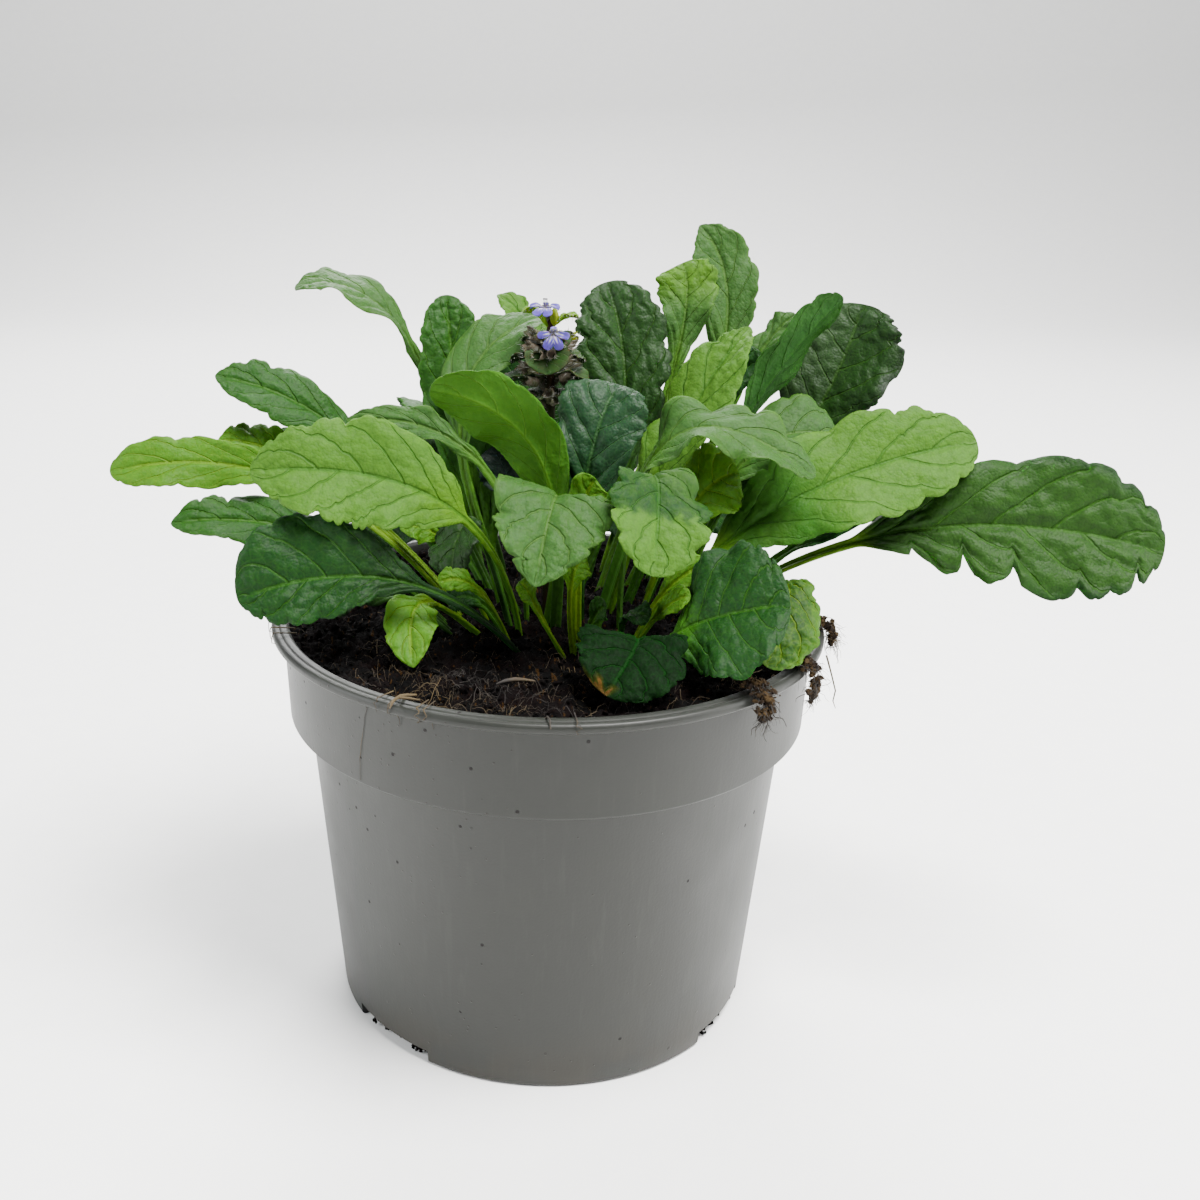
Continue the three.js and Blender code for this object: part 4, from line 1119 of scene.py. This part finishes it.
# Between these heights no calyx stands in front of the stem.
STEM_SHOWS = (187, 197)
CALYX_HAIRS = 26
STEM_HAIRS = 260
LOOKS["bract"] = dict(face=(64, 94, 50), foot=(82, 96, 62), edge=(92, 98, 74),
                      vein=(104, 130, 86), veins=0.35, dull=0.6, gloss=0.1, quilt=0.35)
LOOKS["top_bract"] = dict(face=(138, 188, 60), foot=(150, 194, 60), edge=(140, 176, 74),
                          vein=(150, 190, 70), veins=0.3, dull=0.55, gloss=0.1, quilt=0.3)


def stem_point(height):
    """A point on the middle of the stem, which leans a little."""
    share = (height - SOIL_EDGE_HEIGHT) / (STEM_TOP[2] - SOIL_EDGE_HEIGHT)
    return Vector((STEM_FOOT[0] + (STEM_TOP[0] - STEM_FOOT[0]) * share,
                   STEM_FOOT[1] + (STEM_TOP[1] - STEM_FOOT[1]) * share, height))


def bract(height, angle, reach, rise, width, look):
    """A bract that stands out of the stem: how far it reaches and rises, and how wide it is."""
    foot = stem_point(height)
    ahead = Vector((math.cos(angle), math.sin(angle), 0))
    ends = [foot + ahead * reach * share + Vector((0, 0, lift))
            for share, lift in ((BRACT_TOE, 0), (0.5, rise * 0.5 + 1.5), (1, rise))]
    return leaf("bract", tuple(ends[0]), ends[1], ends[2], width, 0.12, look, teeth=4, wave=0.35,
                stalk_width=2, stalk_depth=1.2, notch=0.06, fold=BRACT_CUP, curl=4, taper=0.6,
                blunt=0.45, ruffle=0.2, quilt=1)


hairy_green, wire = start_material("hairy_stem")
place = wire.place()
flush = place.noise(240, 3)
finish_material(wire, {
    "Base Color": flush.step(0.4, 0.62).blend(tone(58, 62, 34), tone(76, 56, 46)),
    "Roughness": 0.6 + 0.2 * flush,
    "Specular IOR Level": 0.1,
}, place.noise(1800, 2), 0.0002)
hairy_calyx, wire = start_material("hairy_calyx")
place = wire.place()
flush = place.noise(260, 3)
ribs = place.noise(1400, 2)
brown = flush.step(0.38, 0.6).blend(tone(150, 158, 120), tone(176, 162, 144))
finish_material(wire, {
    "Base Color": (ribs.step(0.45, 0.65) * 0.5).blend(brown, tone(220, 214, 200)),
    "Roughness": 0.6 + 0.2 * flush,
    "Specular IOR Level": 0.1,
}, ribs, 0.0003)
for look_name in ("bract", "top_bract"):
    look = LOOKS[look_name]
    material, wire = start_material("hairy_" + look_name)
    leaf_materials[look_name] = material
    lay = wire.kept("lay")
    sheet = wire.kept("sheet")
    tint = wire.kept("tint", "Color")
    along = lay.part(0)
    side = lay.part(1)
    width = sheet.part(1)
    flush = sheet.noise(0.35, 3)
    line, reach = vein_pattern(along, side, flush)
    veins = (line.step(0.8, 0.97) + width.maths("ABSOLUTE").step(0.35, 0.1)).maths("MINIMUM", 1.0)
    colour = (flush.step(0.45, 0.62) * 0.4).blend(tint, tone(*look["edge"]))
    colour = (veins * look["veins"]).blend(colour, tone(*look["vein"]))
    finish_material(wire, {
        "Base Color": colour,
        "Roughness": look["dull"] + flush * 0.2,
        "Specular IOR Level": look["gloss"],
        "Subsurface Weight": 0.2,
        "Subsurface Scale": 0.001,
    }, flush * 0.5 - veins * 0.5, 0.0002)

flower_bud, wire = start_material("flower_bud")
place = wire.place()
flush = place.noise(500, 2)
finish_material(wire, {
    "Base Color": flush.step(0.35, 0.65).blend(tone(150, 176, 10), tone(196, 204, 40)),
    "Roughness": 0.5 + 0.1 * flush,
    "Specular IOR Level": 0.15,
}, flush, 0.0002)

# Each bract's height on the stem, its angle round it, its reach, rise and width, then each tier
# of calyces: its height, their number, the angle of the first and how far out they stand. Last
# the stem's own heights with the share of its width at each.
BRACTS = {
    "bract": ((186, 215, 10, -0.5, 10), (186, -35, 9, -0.5, 10), (187, 38, 10, -1, 10),
              (187, 142, 11, -1, 10), (193.5, 191, 15, -2.6, 12), (193.5, -13, 11.5, -2, 12),
              (193, 88, 10, -1, 11), (198.5, 168, 12, -1.5, 11), (198.5, 8, 10.5, -1, 11),
              (202.5, -98, 9.5, -7, 15), (201, 84, 9, -2, 12), (204.5, 160, 8.5, -1, 9),
              (204.5, 14, 8, -1, 9), (206.5, -70, 7, -4, 10)),
    "top_bract": ((208.5, 182, 8.5, 4.5, 6.5), (208.5, -3, 8.5, 3, 6), (208.5, 95, 4, 4, 4)),
}
CALYX_TIERS = ((185, 11, 0, 3.6), (190, 10, 30, 5), (195, 9, 12, 4.6), (199.5, 9, 40, 3.8),
               (203.5, 8, 35, 3))
STEM_ROWS = ((SOIL_EDGE_HEIGHT - ROOT_DEPTH, 1), (165, 1), (185, 0.95), (200, 0.85),
             (STEM_TOP[2], 0.6))
draw = random.Random(23)
bm = bmesh.new()
hair_roots = []
for look_name, height, angle, reach, rise, width in (
        (look_name, *numbers) for look_name, group in BRACTS.items() for numbers in group):
    known = len(bm.faces)
    shape = bract(height, math.radians(angle), reach, rise, width, look_name)
    grow_leaf(bm, shape, "bract", draw.uniform(0, 90))
    for t in (0.35, 0.5, 0.6, 0.7, 0.8, 0.9, 0.97):
        point, across, out, blade = leaf_line(shape, t)
        half = half_width(shape, blade)[0]
        for side in (-1, -0.5, 0.0, 0.5, 1):
            spot = point + across * half * side + out * (half * abs(side) * 0.3)
            ahead = across * side * 1.2 + out * draw.uniform(-0.6, 1)
            hair_roots.append((spot, ahead.normalized()))
    paint_faces(bm, known, 0 if look_name == "bract" else 1)
bmesh.ops.recalc_face_normals(bm, faces=bm.faces)


def add_calyx(bm, foot, ahead, length, wide):
    """A small bell of five teeth that once held a flower."""
    turn = ahead.to_track_quat("Z", "Y").to_matrix().to_4x4()
    seat = Matrix.Translation((foot + ahead * length / 2) * MM) @ turn
    made = bmesh.ops.create_cone(bm, cap_ends=True, segments=10, radius1=0.45 * wide * MM,
                                 radius2=0.5 * wide * MM, depth=length * MM, matrix=seat)["verts"]
    mouth = [vert for vert in made if (vert.co / MM - foot).dot(ahead) > 0.9 * length]
    middle = (foot + ahead * length) * MM
    for i, vert in enumerate(mouth):
        if i % 2:
            vert.co += ahead * 0.3 * length * MM + (vert.co - middle) * 0.1
    floor = [face for face in bm.faces if all(vert in mouth for vert in face.verts)]
    bmesh.ops.inset_region(bm, faces=floor, thickness=0.12 * wide * MM, depth=0)
    bmesh.ops.translate(bm, verts=list({v for face in floor for v in face.verts}),
                        vec=ahead * -0.4 * length * MM)


known = len(bm.faces)
for height, count, start, out in CALYX_TIERS:
    for i in range(count):
        angle = math.radians(start + 360 * i / count + draw.uniform(-10, 10))
        ahead = Vector((math.cos(angle), math.sin(angle), draw.uniform(0.1, 0.8))).normalized()
        if STEM_SHOWS[0] < height < STEM_SHOWS[1] and ahead.y < -0.75:
            continue
        foot = stem_point(height + draw.uniform(-0.7, 0.7)) + ahead * out
        length = draw.uniform(3.4, 4.8)
        add_calyx(bm, foot, ahead, length, draw.uniform(2.6, 3.4))
        for hair in range(CALYX_HAIRS):
            stray = Vector((draw.uniform(-1, 1), draw.uniform(-1, 1), draw.uniform(-1, 1)))
            side = ahead.cross(stray).normalized()
            hair_roots.append((foot + ahead * length * draw.uniform(0.1, 1.3) + side * 1.15,
                               (side + ahead * 0.7).normalized()))
paint_faces(bm, known, 3)

known = len(bm.faces)
for place, wide, tall in ((stem_point(211) + Vector((1.1, -1.2, 1)), 1.4, 2.7),
                          (stem_point(205) + Vector((4, 2.5, 0)), 0.9, 1.4)):
    made = bmesh.ops.create_icosphere(bm, subdivisions=3, radius=1)["verts"]
    for vert in made:
        taper = 1 - 0.35 * max(vert.co.z, 0)
        ridge = 1 + 0.08 * math.cos(5 * math.atan2(vert.co.y, vert.co.x))
        vert.co = (place + Vector((vert.co.x * wide * taper * ridge,
                                   vert.co.y * wide * taper * ridge,
                                   vert.co.z * tall))) * MM
paint_faces(bm, known, 4)

known = len(bm.faces)
made = bmesh.ops.create_circle(bm, segments=12, radius=1)["verts"]
loop = list(made)
ring = [edge for edge in bm.edges if all(vert in loop for vert in edge.verts)]
corner_angles = [math.atan2(vert.co.y, vert.co.x) for vert in loop]
for step, (height, share) in enumerate(STEM_ROWS):
    if step:
        grown = bmesh.ops.extrude_edge_only(bm, edges=ring)["geom"]
        loop = [item for item in grown if isinstance(item, bmesh.types.BMVert)]
        ring = [item for item in grown if isinstance(item, bmesh.types.BMEdge)]
        corner_angles = [math.atan2(vert.co.y - last.y * MM, vert.co.x - last.x * MM)
                         for vert in loop]
    middle = stem_point(height)
    for vert, angle in zip(loop, corner_angles):
        squared = STEM_SIDE * share / max(abs(math.cos(angle)), abs(math.sin(angle))) ** 0.7
        vert.co = Vector((middle.x + squared * math.cos(angle),
                          middle.y + squared * math.sin(angle), height)) * MM
    last = middle
ends = [edge for edge in bm.edges if edge.is_boundary]
bmesh.ops.holes_fill(bm, edges=ends, sides=0)
paint_faces(bm, known, 2)
bmesh.ops.recalc_face_normals(bm, faces=bm.faces)
shade(bm, 60)
spike = add_object("bugle_spike", bm, leaf_materials["bract"])
for material in (leaf_materials["top_bract"], hairy_green, hairy_calyx, flower_bud):
    spike.data.materials.append(material)
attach(spike, "root")
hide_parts("flower_spike")

down, wire = start_material("white_down")
place = wire.place()
finish_material(wire, {
    "Base Color": place.noise(300, 1).blend(tone(196, 196, 186), tone(226, 226, 220)),
    "Roughness": 0.6,
})
for hair in range(STEM_HAIRS):
    height = draw.uniform(150, 208)
    angle = draw.uniform(0, 2 * math.pi)
    side = Vector((math.cos(angle), math.sin(angle), draw.uniform(-0.2, 0.4))).normalized()
    hair_roots.append((stem_point(height) + side * 1.9, side))
strands = []
for spot, ahead in hair_roots:
    length = draw.uniform(0.8, 1.9)
    bend = Vector((draw.uniform(-0.4, 0.4), draw.uniform(-0.4, 0.4), draw.uniform(-0.2, 0.5)))
    middle = spot + ahead * length * 0.5
    end = middle + (ahead + bend).normalized() * length * 0.5
    strands.append([(*spot, 0.075), (*middle, 0.055), (*end, 0.015)])
hairs = add_strands("spike_hairs", strands, down)
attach(hairs, "root")

# ---------------------------------------------------------------------------------------------
# The two open flowers. A narrow violet-blue tube whose lower lip spreads into a cleft middle lobe
# and two side lobes, pale at the throat, with four stamens under a tiny upper lip.
# ---------------------------------------------------------------------------------------------

FLOWER_TUBE = 6
THROAT_RADIUS = 1.5
TUBE_FOOT_RADIUS = 0.8
STAMEN_PLACES = (-0.5, -0.17, 0.17, 0.5)
STAMEN_HEIGHT = 0.8
STAMEN_MIDDLE = 6.8
STAMEN_LENGTH = 3
ANTHER_RADIUS = 0.26
LOOKS["petal"] = dict(face=(116, 96, 226), foot=(196, 190, 240), edge=(96, 78, 214), quilt=0.15)
petal_blue, wire = start_material("violet_petal")
lay = wire.kept("lay")
sheet = wire.kept("sheet")
tint = wire.kept("tint", "Color")
along = lay.part(0)
width = sheet.part(1)
stripe = (width.maths("ABSOLUTE") * 1.3).maths("FRACT").step(0.34, 0.2) * along.step(0.72, 0.45)
mottle = sheet.noise(1.2, 3)
colour = (mottle.step(0.4, 0.7) * 0.3).blend(tint, tone(132, 116, 232))
colour = stripe.blend(colour, tone(240, 240, 252))
finish_material(wire, {
    "Base Color": colour,
    "Roughness": 0.5 + 0.1 * mottle,
    "Subsurface Weight": 0.3,
    "Subsurface Scale": 0.001,
    "Sheen Weight": 0.2,
}, mottle, 0.0001)

anther, wire = start_material("anther")
place = wire.place()
finish_material(wire, {
    "Base Color": place.noise(900, 1).blend(tone(70, 66, 120), tone(190, 186, 150)),
    "Roughness": 0.6,
})

LOBES = (
    dict(angle=-112, reach=5.4, width=3.1, drop=0.2, heading=90, roll=0),
    dict(angle=-68, reach=5.4, width=3.1, drop=0.2, heading=90, roll=0),
    dict(angle=-14, reach=4.8, width=2.3, drop=0.0, heading=0, roll=-90),
    dict(angle=194, reach=4.8, width=2.3, drop=0.0, heading=180, roll=90),
    dict(angle=90, reach=1.6, width=2.0, drop=0.4, heading=-90, roll=0),
)
FLOWERS = (
    dict(name="flower_front", point=(0.9, 0.6, 207.2), heading=176, tilt=12),
    dict(name="flower_top", point=(-1.2, 5.6, 209.6), heading=165, tilt=64),
)
for number, flower in enumerate(FLOWERS):
    seat = (Matrix.Translation(Vector(flower["point"]) * MM)
            @ Matrix.Rotation(math.radians(flower["heading"]), 4, "Z")
            @ Matrix.Rotation(math.radians(flower["tilt"]), 4, "X"))
    bm = bmesh.new()
    for lobe in LOBES:
        x = math.cos(math.radians(lobe["angle"]))
        z = math.sin(math.radians(lobe["angle"]))
        reach = lobe["reach"]
        shape = leaf("lobe", (0.5 * x, FLOWER_TUBE - 0.6, 0.5 * z),
                     (0.5 * reach * x, FLOWER_TUBE + 0.8, 0.5 * reach * z),
                     (reach * x, FLOWER_TUBE + 0.2 - lobe["drop"], reach * z), lobe["width"], 0.1,
                     "petal", heading=lobe["heading"], roll=lobe["roll"], teeth=2, wave=0.12,
                     notch=0.05, fold=-6, curl=-10, taper=0.9, blunt=0.35, stalk_width=1.2,
                     stalk_depth=0.5, ruffle=0.15, quilt=0.3)
        grow_leaf(bm, shape, "lobe", 7.0 * number + lobe["angle"])
    tint = bm.verts.layers.float_color.get("tint")
    known = len(bm.verts)
    pipe = Matrix.Rotation(-math.pi / 2, 4, "X")
    tube_place = Matrix.Translation((0, FLOWER_TUBE / 2 * MM, 0)) @ pipe
    bmesh.ops.create_cone(bm, cap_ends=True, segments=16, radius1=THROAT_RADIUS * MM,
                          radius2=TUBE_FOOT_RADIUS * MM, depth=FLOWER_TUBE * MM,
                          matrix=tube_place @ Matrix.Rotation(math.pi, 4, "X"))
    bm.verts.ensure_lookup_table()
    for vert in bm.verts[known:]:
        vert[tint] = tone(150, 140, 226)
    known = len(bm.faces)
    for x in STAMEN_PLACES:
        middle = Vector((x, STAMEN_MIDDLE, STAMEN_HEIGHT)) * MM
        bmesh.ops.create_cone(bm, cap_ends=True, segments=5, radius1=0.09 * MM, radius2=0.07 * MM,
                              depth=STAMEN_LENGTH * MM, matrix=Matrix.Translation(middle) @ pipe)
        end = middle + Vector((0, STAMEN_LENGTH / 2 * MM, 0))
        bmesh.ops.create_icosphere(bm, subdivisions=2, radius=ANTHER_RADIUS * MM,
                                   matrix=Matrix.Translation(end))
    paint_faces(bm, known, 1)
    bmesh.ops.transform(bm, verts=bm.verts, matrix=seat)
    bmesh.ops.recalc_face_normals(bm, faces=bm.faces)
    shade(bm, 60)
    bloom = add_object("bugle_" + flower["name"], bm, petal_blue)
    bloom.data.materials.append(anther)
    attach(bloom, "root")
    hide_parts(flower["name"])

# ---------------------------------------------------------------------------------------------
# The tufts. Knots of fine root and crumbled peat that spill over the lip on the right, and single
# roots that cling to the lip and the collar.
# ---------------------------------------------------------------------------------------------

dry_peat, wire = start_material("dry_peat")
place = wire.place()
clods = place.noise(300, 4)
finish_material(wire, {
    "Base Color": clods.step(0.35, 0.7).blend(tone(44, 34, 26), tone(120, 101, 77)),
    "Roughness": 0.8 + 0.1 * clods,
    "Specular IOR Level": 0.1,
}, place.noise(1200, 3), 0.0008)

# How wide a tuft is at each place of its path over the lip, as a share of its thickness.
TUFT_WIDTHS = (0.5, 0.8, 0.75, 0.8, 0.95, 0.4)
TUFT_CRUMBS = 300
TUFT_THREADS = 130
THREAD_POINTS = 8
TUFTS = (
    dict(name="root_tuft_1", angle=41, hang=7, thick=3.4),
    dict(name="root_tuft_2", angle=58, hang=10, thick=3.6),
    dict(name="root_tuft_3", angle=80, hang=5, thick=3.2),
)
for number, tuft in enumerate(TUFTS):
    draw = random.Random(50 + number)
    out = Vector((math.sin(math.radians(tuft["angle"])), -math.cos(math.radians(tuft["angle"])), 0))
    side = Vector((-out.y, out.x, 0))
    thick, hang = tuft["thick"], tuft["hang"]
    path = [out * radius + Vector((0, 0, height)) for radius, height in (
        (72, SOIL_EDGE_HEIGHT + 4.2), (78, POT_HEIGHT + 2.0), (84, POT_HEIGHT + 1.9),
        (LIP_RADIUS + 1.8, POT_HEIGHT - 0.8), (LIP_RADIUS + 2.2, POT_HEIGHT - hang * 0.6),
        (LIP_RADIUS + 1.8, POT_HEIGHT - hang))]
    bm = bmesh.new()
    for crumb in range(TUFT_CRUMBS):
        place = draw.uniform(0, len(path) - 1.001)
        leg = int(place)
        spot = path[leg].lerp(path[leg + 1], place - leg)
        share = TUFT_WIDTHS[leg] + (TUFT_WIDTHS[leg + 1] - TUFT_WIDTHS[leg]) * (place - leg)
        spread = thick * share
        spot = spot + side * draw.gauss(0, 0.62) * spread
        spot = spot + (out * 0.6 + Vector((0, 0, 0.7))) * abs(draw.gauss(0, 0.3)) * spread
        add_crumb(bm, spot * MM, 0.3 + 0.95 * draw.random() ** 2, draw)
    shade(bm, 40)
    knot = add_object("bugle_" + tuft["name"], bm, dry_peat)
    strands = []
    for thread in range(TUFT_THREADS):
        place = draw.uniform(0.3, len(path) - 1.2)
        leg = int(place)
        spot = path[leg].lerp(path[leg + 1], place - leg)
        spot += side * draw.gauss(0, 0.5) * thick + out * draw.uniform(0.2, 1.2)
        ahead = (path[leg + 1] - path[leg]).normalized()
        ahead += Vector((draw.gauss(0, 0.7), draw.gauss(0, 0.7), draw.gauss(-0.1, 0.6)))
        radius = 0.05 + 0.16 * draw.random() ** 2
        step = draw.uniform(0.4, 1.1)
        strand = []
        for i in range(THREAD_POINTS):
            strand.append((*spot, radius * (1 - 0.09 * i)))
            stray = Vector((draw.gauss(0, 0.4), draw.gauss(0, 0.4), draw.gauss(-0.12, 0.4)))
            ahead = ahead.normalized() + stray
            spot = spot + ahead.normalized() * step
            from_axis = math.hypot(spot.x, spot.y)
            if from_axis < LIP_RADIUS + 0.3 and spot.z < POT_HEIGHT + 0.3:
                spot = spot + out * (LIP_RADIUS + 0.4 - from_axis)
        strands.append(strand)
    tangle = add_strands("tangle_" + str(number + 1), strands, dry_fibre)
    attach(knot, "root")
    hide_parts(tuft["name"])
    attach(tangle, "root")


def on_pot(angle, height, lift=0.2):
    """A place on the outside of the pot at an angle right of its front and a height."""
    if height > POT_HEIGHT - LIP_DEPTH:
        radius = LIP_RADIUS
    elif height > COLLAR_FOOT_HEIGHT:
        share = (height - COLLAR_FOOT_HEIGHT) / (POT_HEIGHT - LIP_DEPTH - COLLAR_FOOT_HEIGHT)
        radius = COLLAR_FOOT_RADIUS + (COLLAR_TOP_RADIUS - COLLAR_FOOT_RADIUS) * share
    else:
        radius = (BODY_FOOT_RADIUS
                  + (BODY_TOP_RADIUS - BODY_FOOT_RADIUS) * height / COLLAR_FOOT_HEIGHT)
    turn = math.radians(angle)
    return ((radius + lift) * math.sin(turn), -(radius + lift) * math.cos(turn), height)


# A thread down the collar, thicker bits that lie on the compost and the lip, and one that hangs
# on the right. Then short threads that hook over the lip.
HOOK_STEPS = 6
draw = random.Random(91)
single_roots = [
    [(*on_pot(-37 - 3.6 * math.sin(1.7 * i / 13) + draw.uniform(-0.2, 0.2), 118.6 - 28 * i / 13),
      0.07) for i in range(14)],
    [(-15, -57.8, 119.8, 0.3), (-12.6, -57, 120.4, 0.65), (-10, -56.2, 120.5, 0.75),
     (-7.4, -55.6, 120.2, 0.5), (-4.6, -55.4, 119.8, 0.3)],
    [(-42.4, -77.5, 121.2, 0.25), (-41.6, -74.6, 122.2, 0.55), (-40.2, -71.6, 122, 0.6),
     (-38.6, -68.6, 121, 0.5), (-36.2, -66, 120, 0.3)],
    [(-40.6, -72.4, 122, 0.4), (-37.4, -73.6, 122.4, 0.35), (-34.8, -73, 121.6, 0.2)],
    [(-2.5, -80.6, 119.4, 0.25), (-1.8, -81.6, 121.4, 0.3), (-1.2, -84.2, 121.7, 0.25),
     (-1, -85.4, 119.6, 0.15)],
    [(81, -30, 118, 0.3), (82.5, -30.5, 113, 0.25), (84, -31, 107.5, 0.22),
     (83.6, -30.4, 104, 0.18), (84.6, -30, 101.5, 0.1)],
]
for angle, top, length in ((-24.3, 121, 5), (-23, 121, 7), (-30.1, 121, 8), (4.2, 121.2, 4.5),
                           (-79, 122, 7), (-75, 121.5, 5), (-72, 121.4, 6), (-33, 121.2, 4)):
    strand = []
    for i in range(HOOK_STEPS + 1):
        height = top + 0.4 - length * (i / HOOK_STEPS) ** 1.4
        lift = 0.3 + 0.5 * math.sin(math.pi * i / HOOK_STEPS)
        spot = on_pot(angle + draw.uniform(-0.6, 0.6), min(height, 122), lift)
        strand.append((*spot, 0.2 - 0.02 * i))
    x, y, z, radius = strand[0]
    strand.insert(0, (x * 0.92, y * 0.92, 121.0, radius))
    single_roots.append(strand)
roots = add_strands("single_roots", single_roots, dry_fibre)
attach(roots, "root")
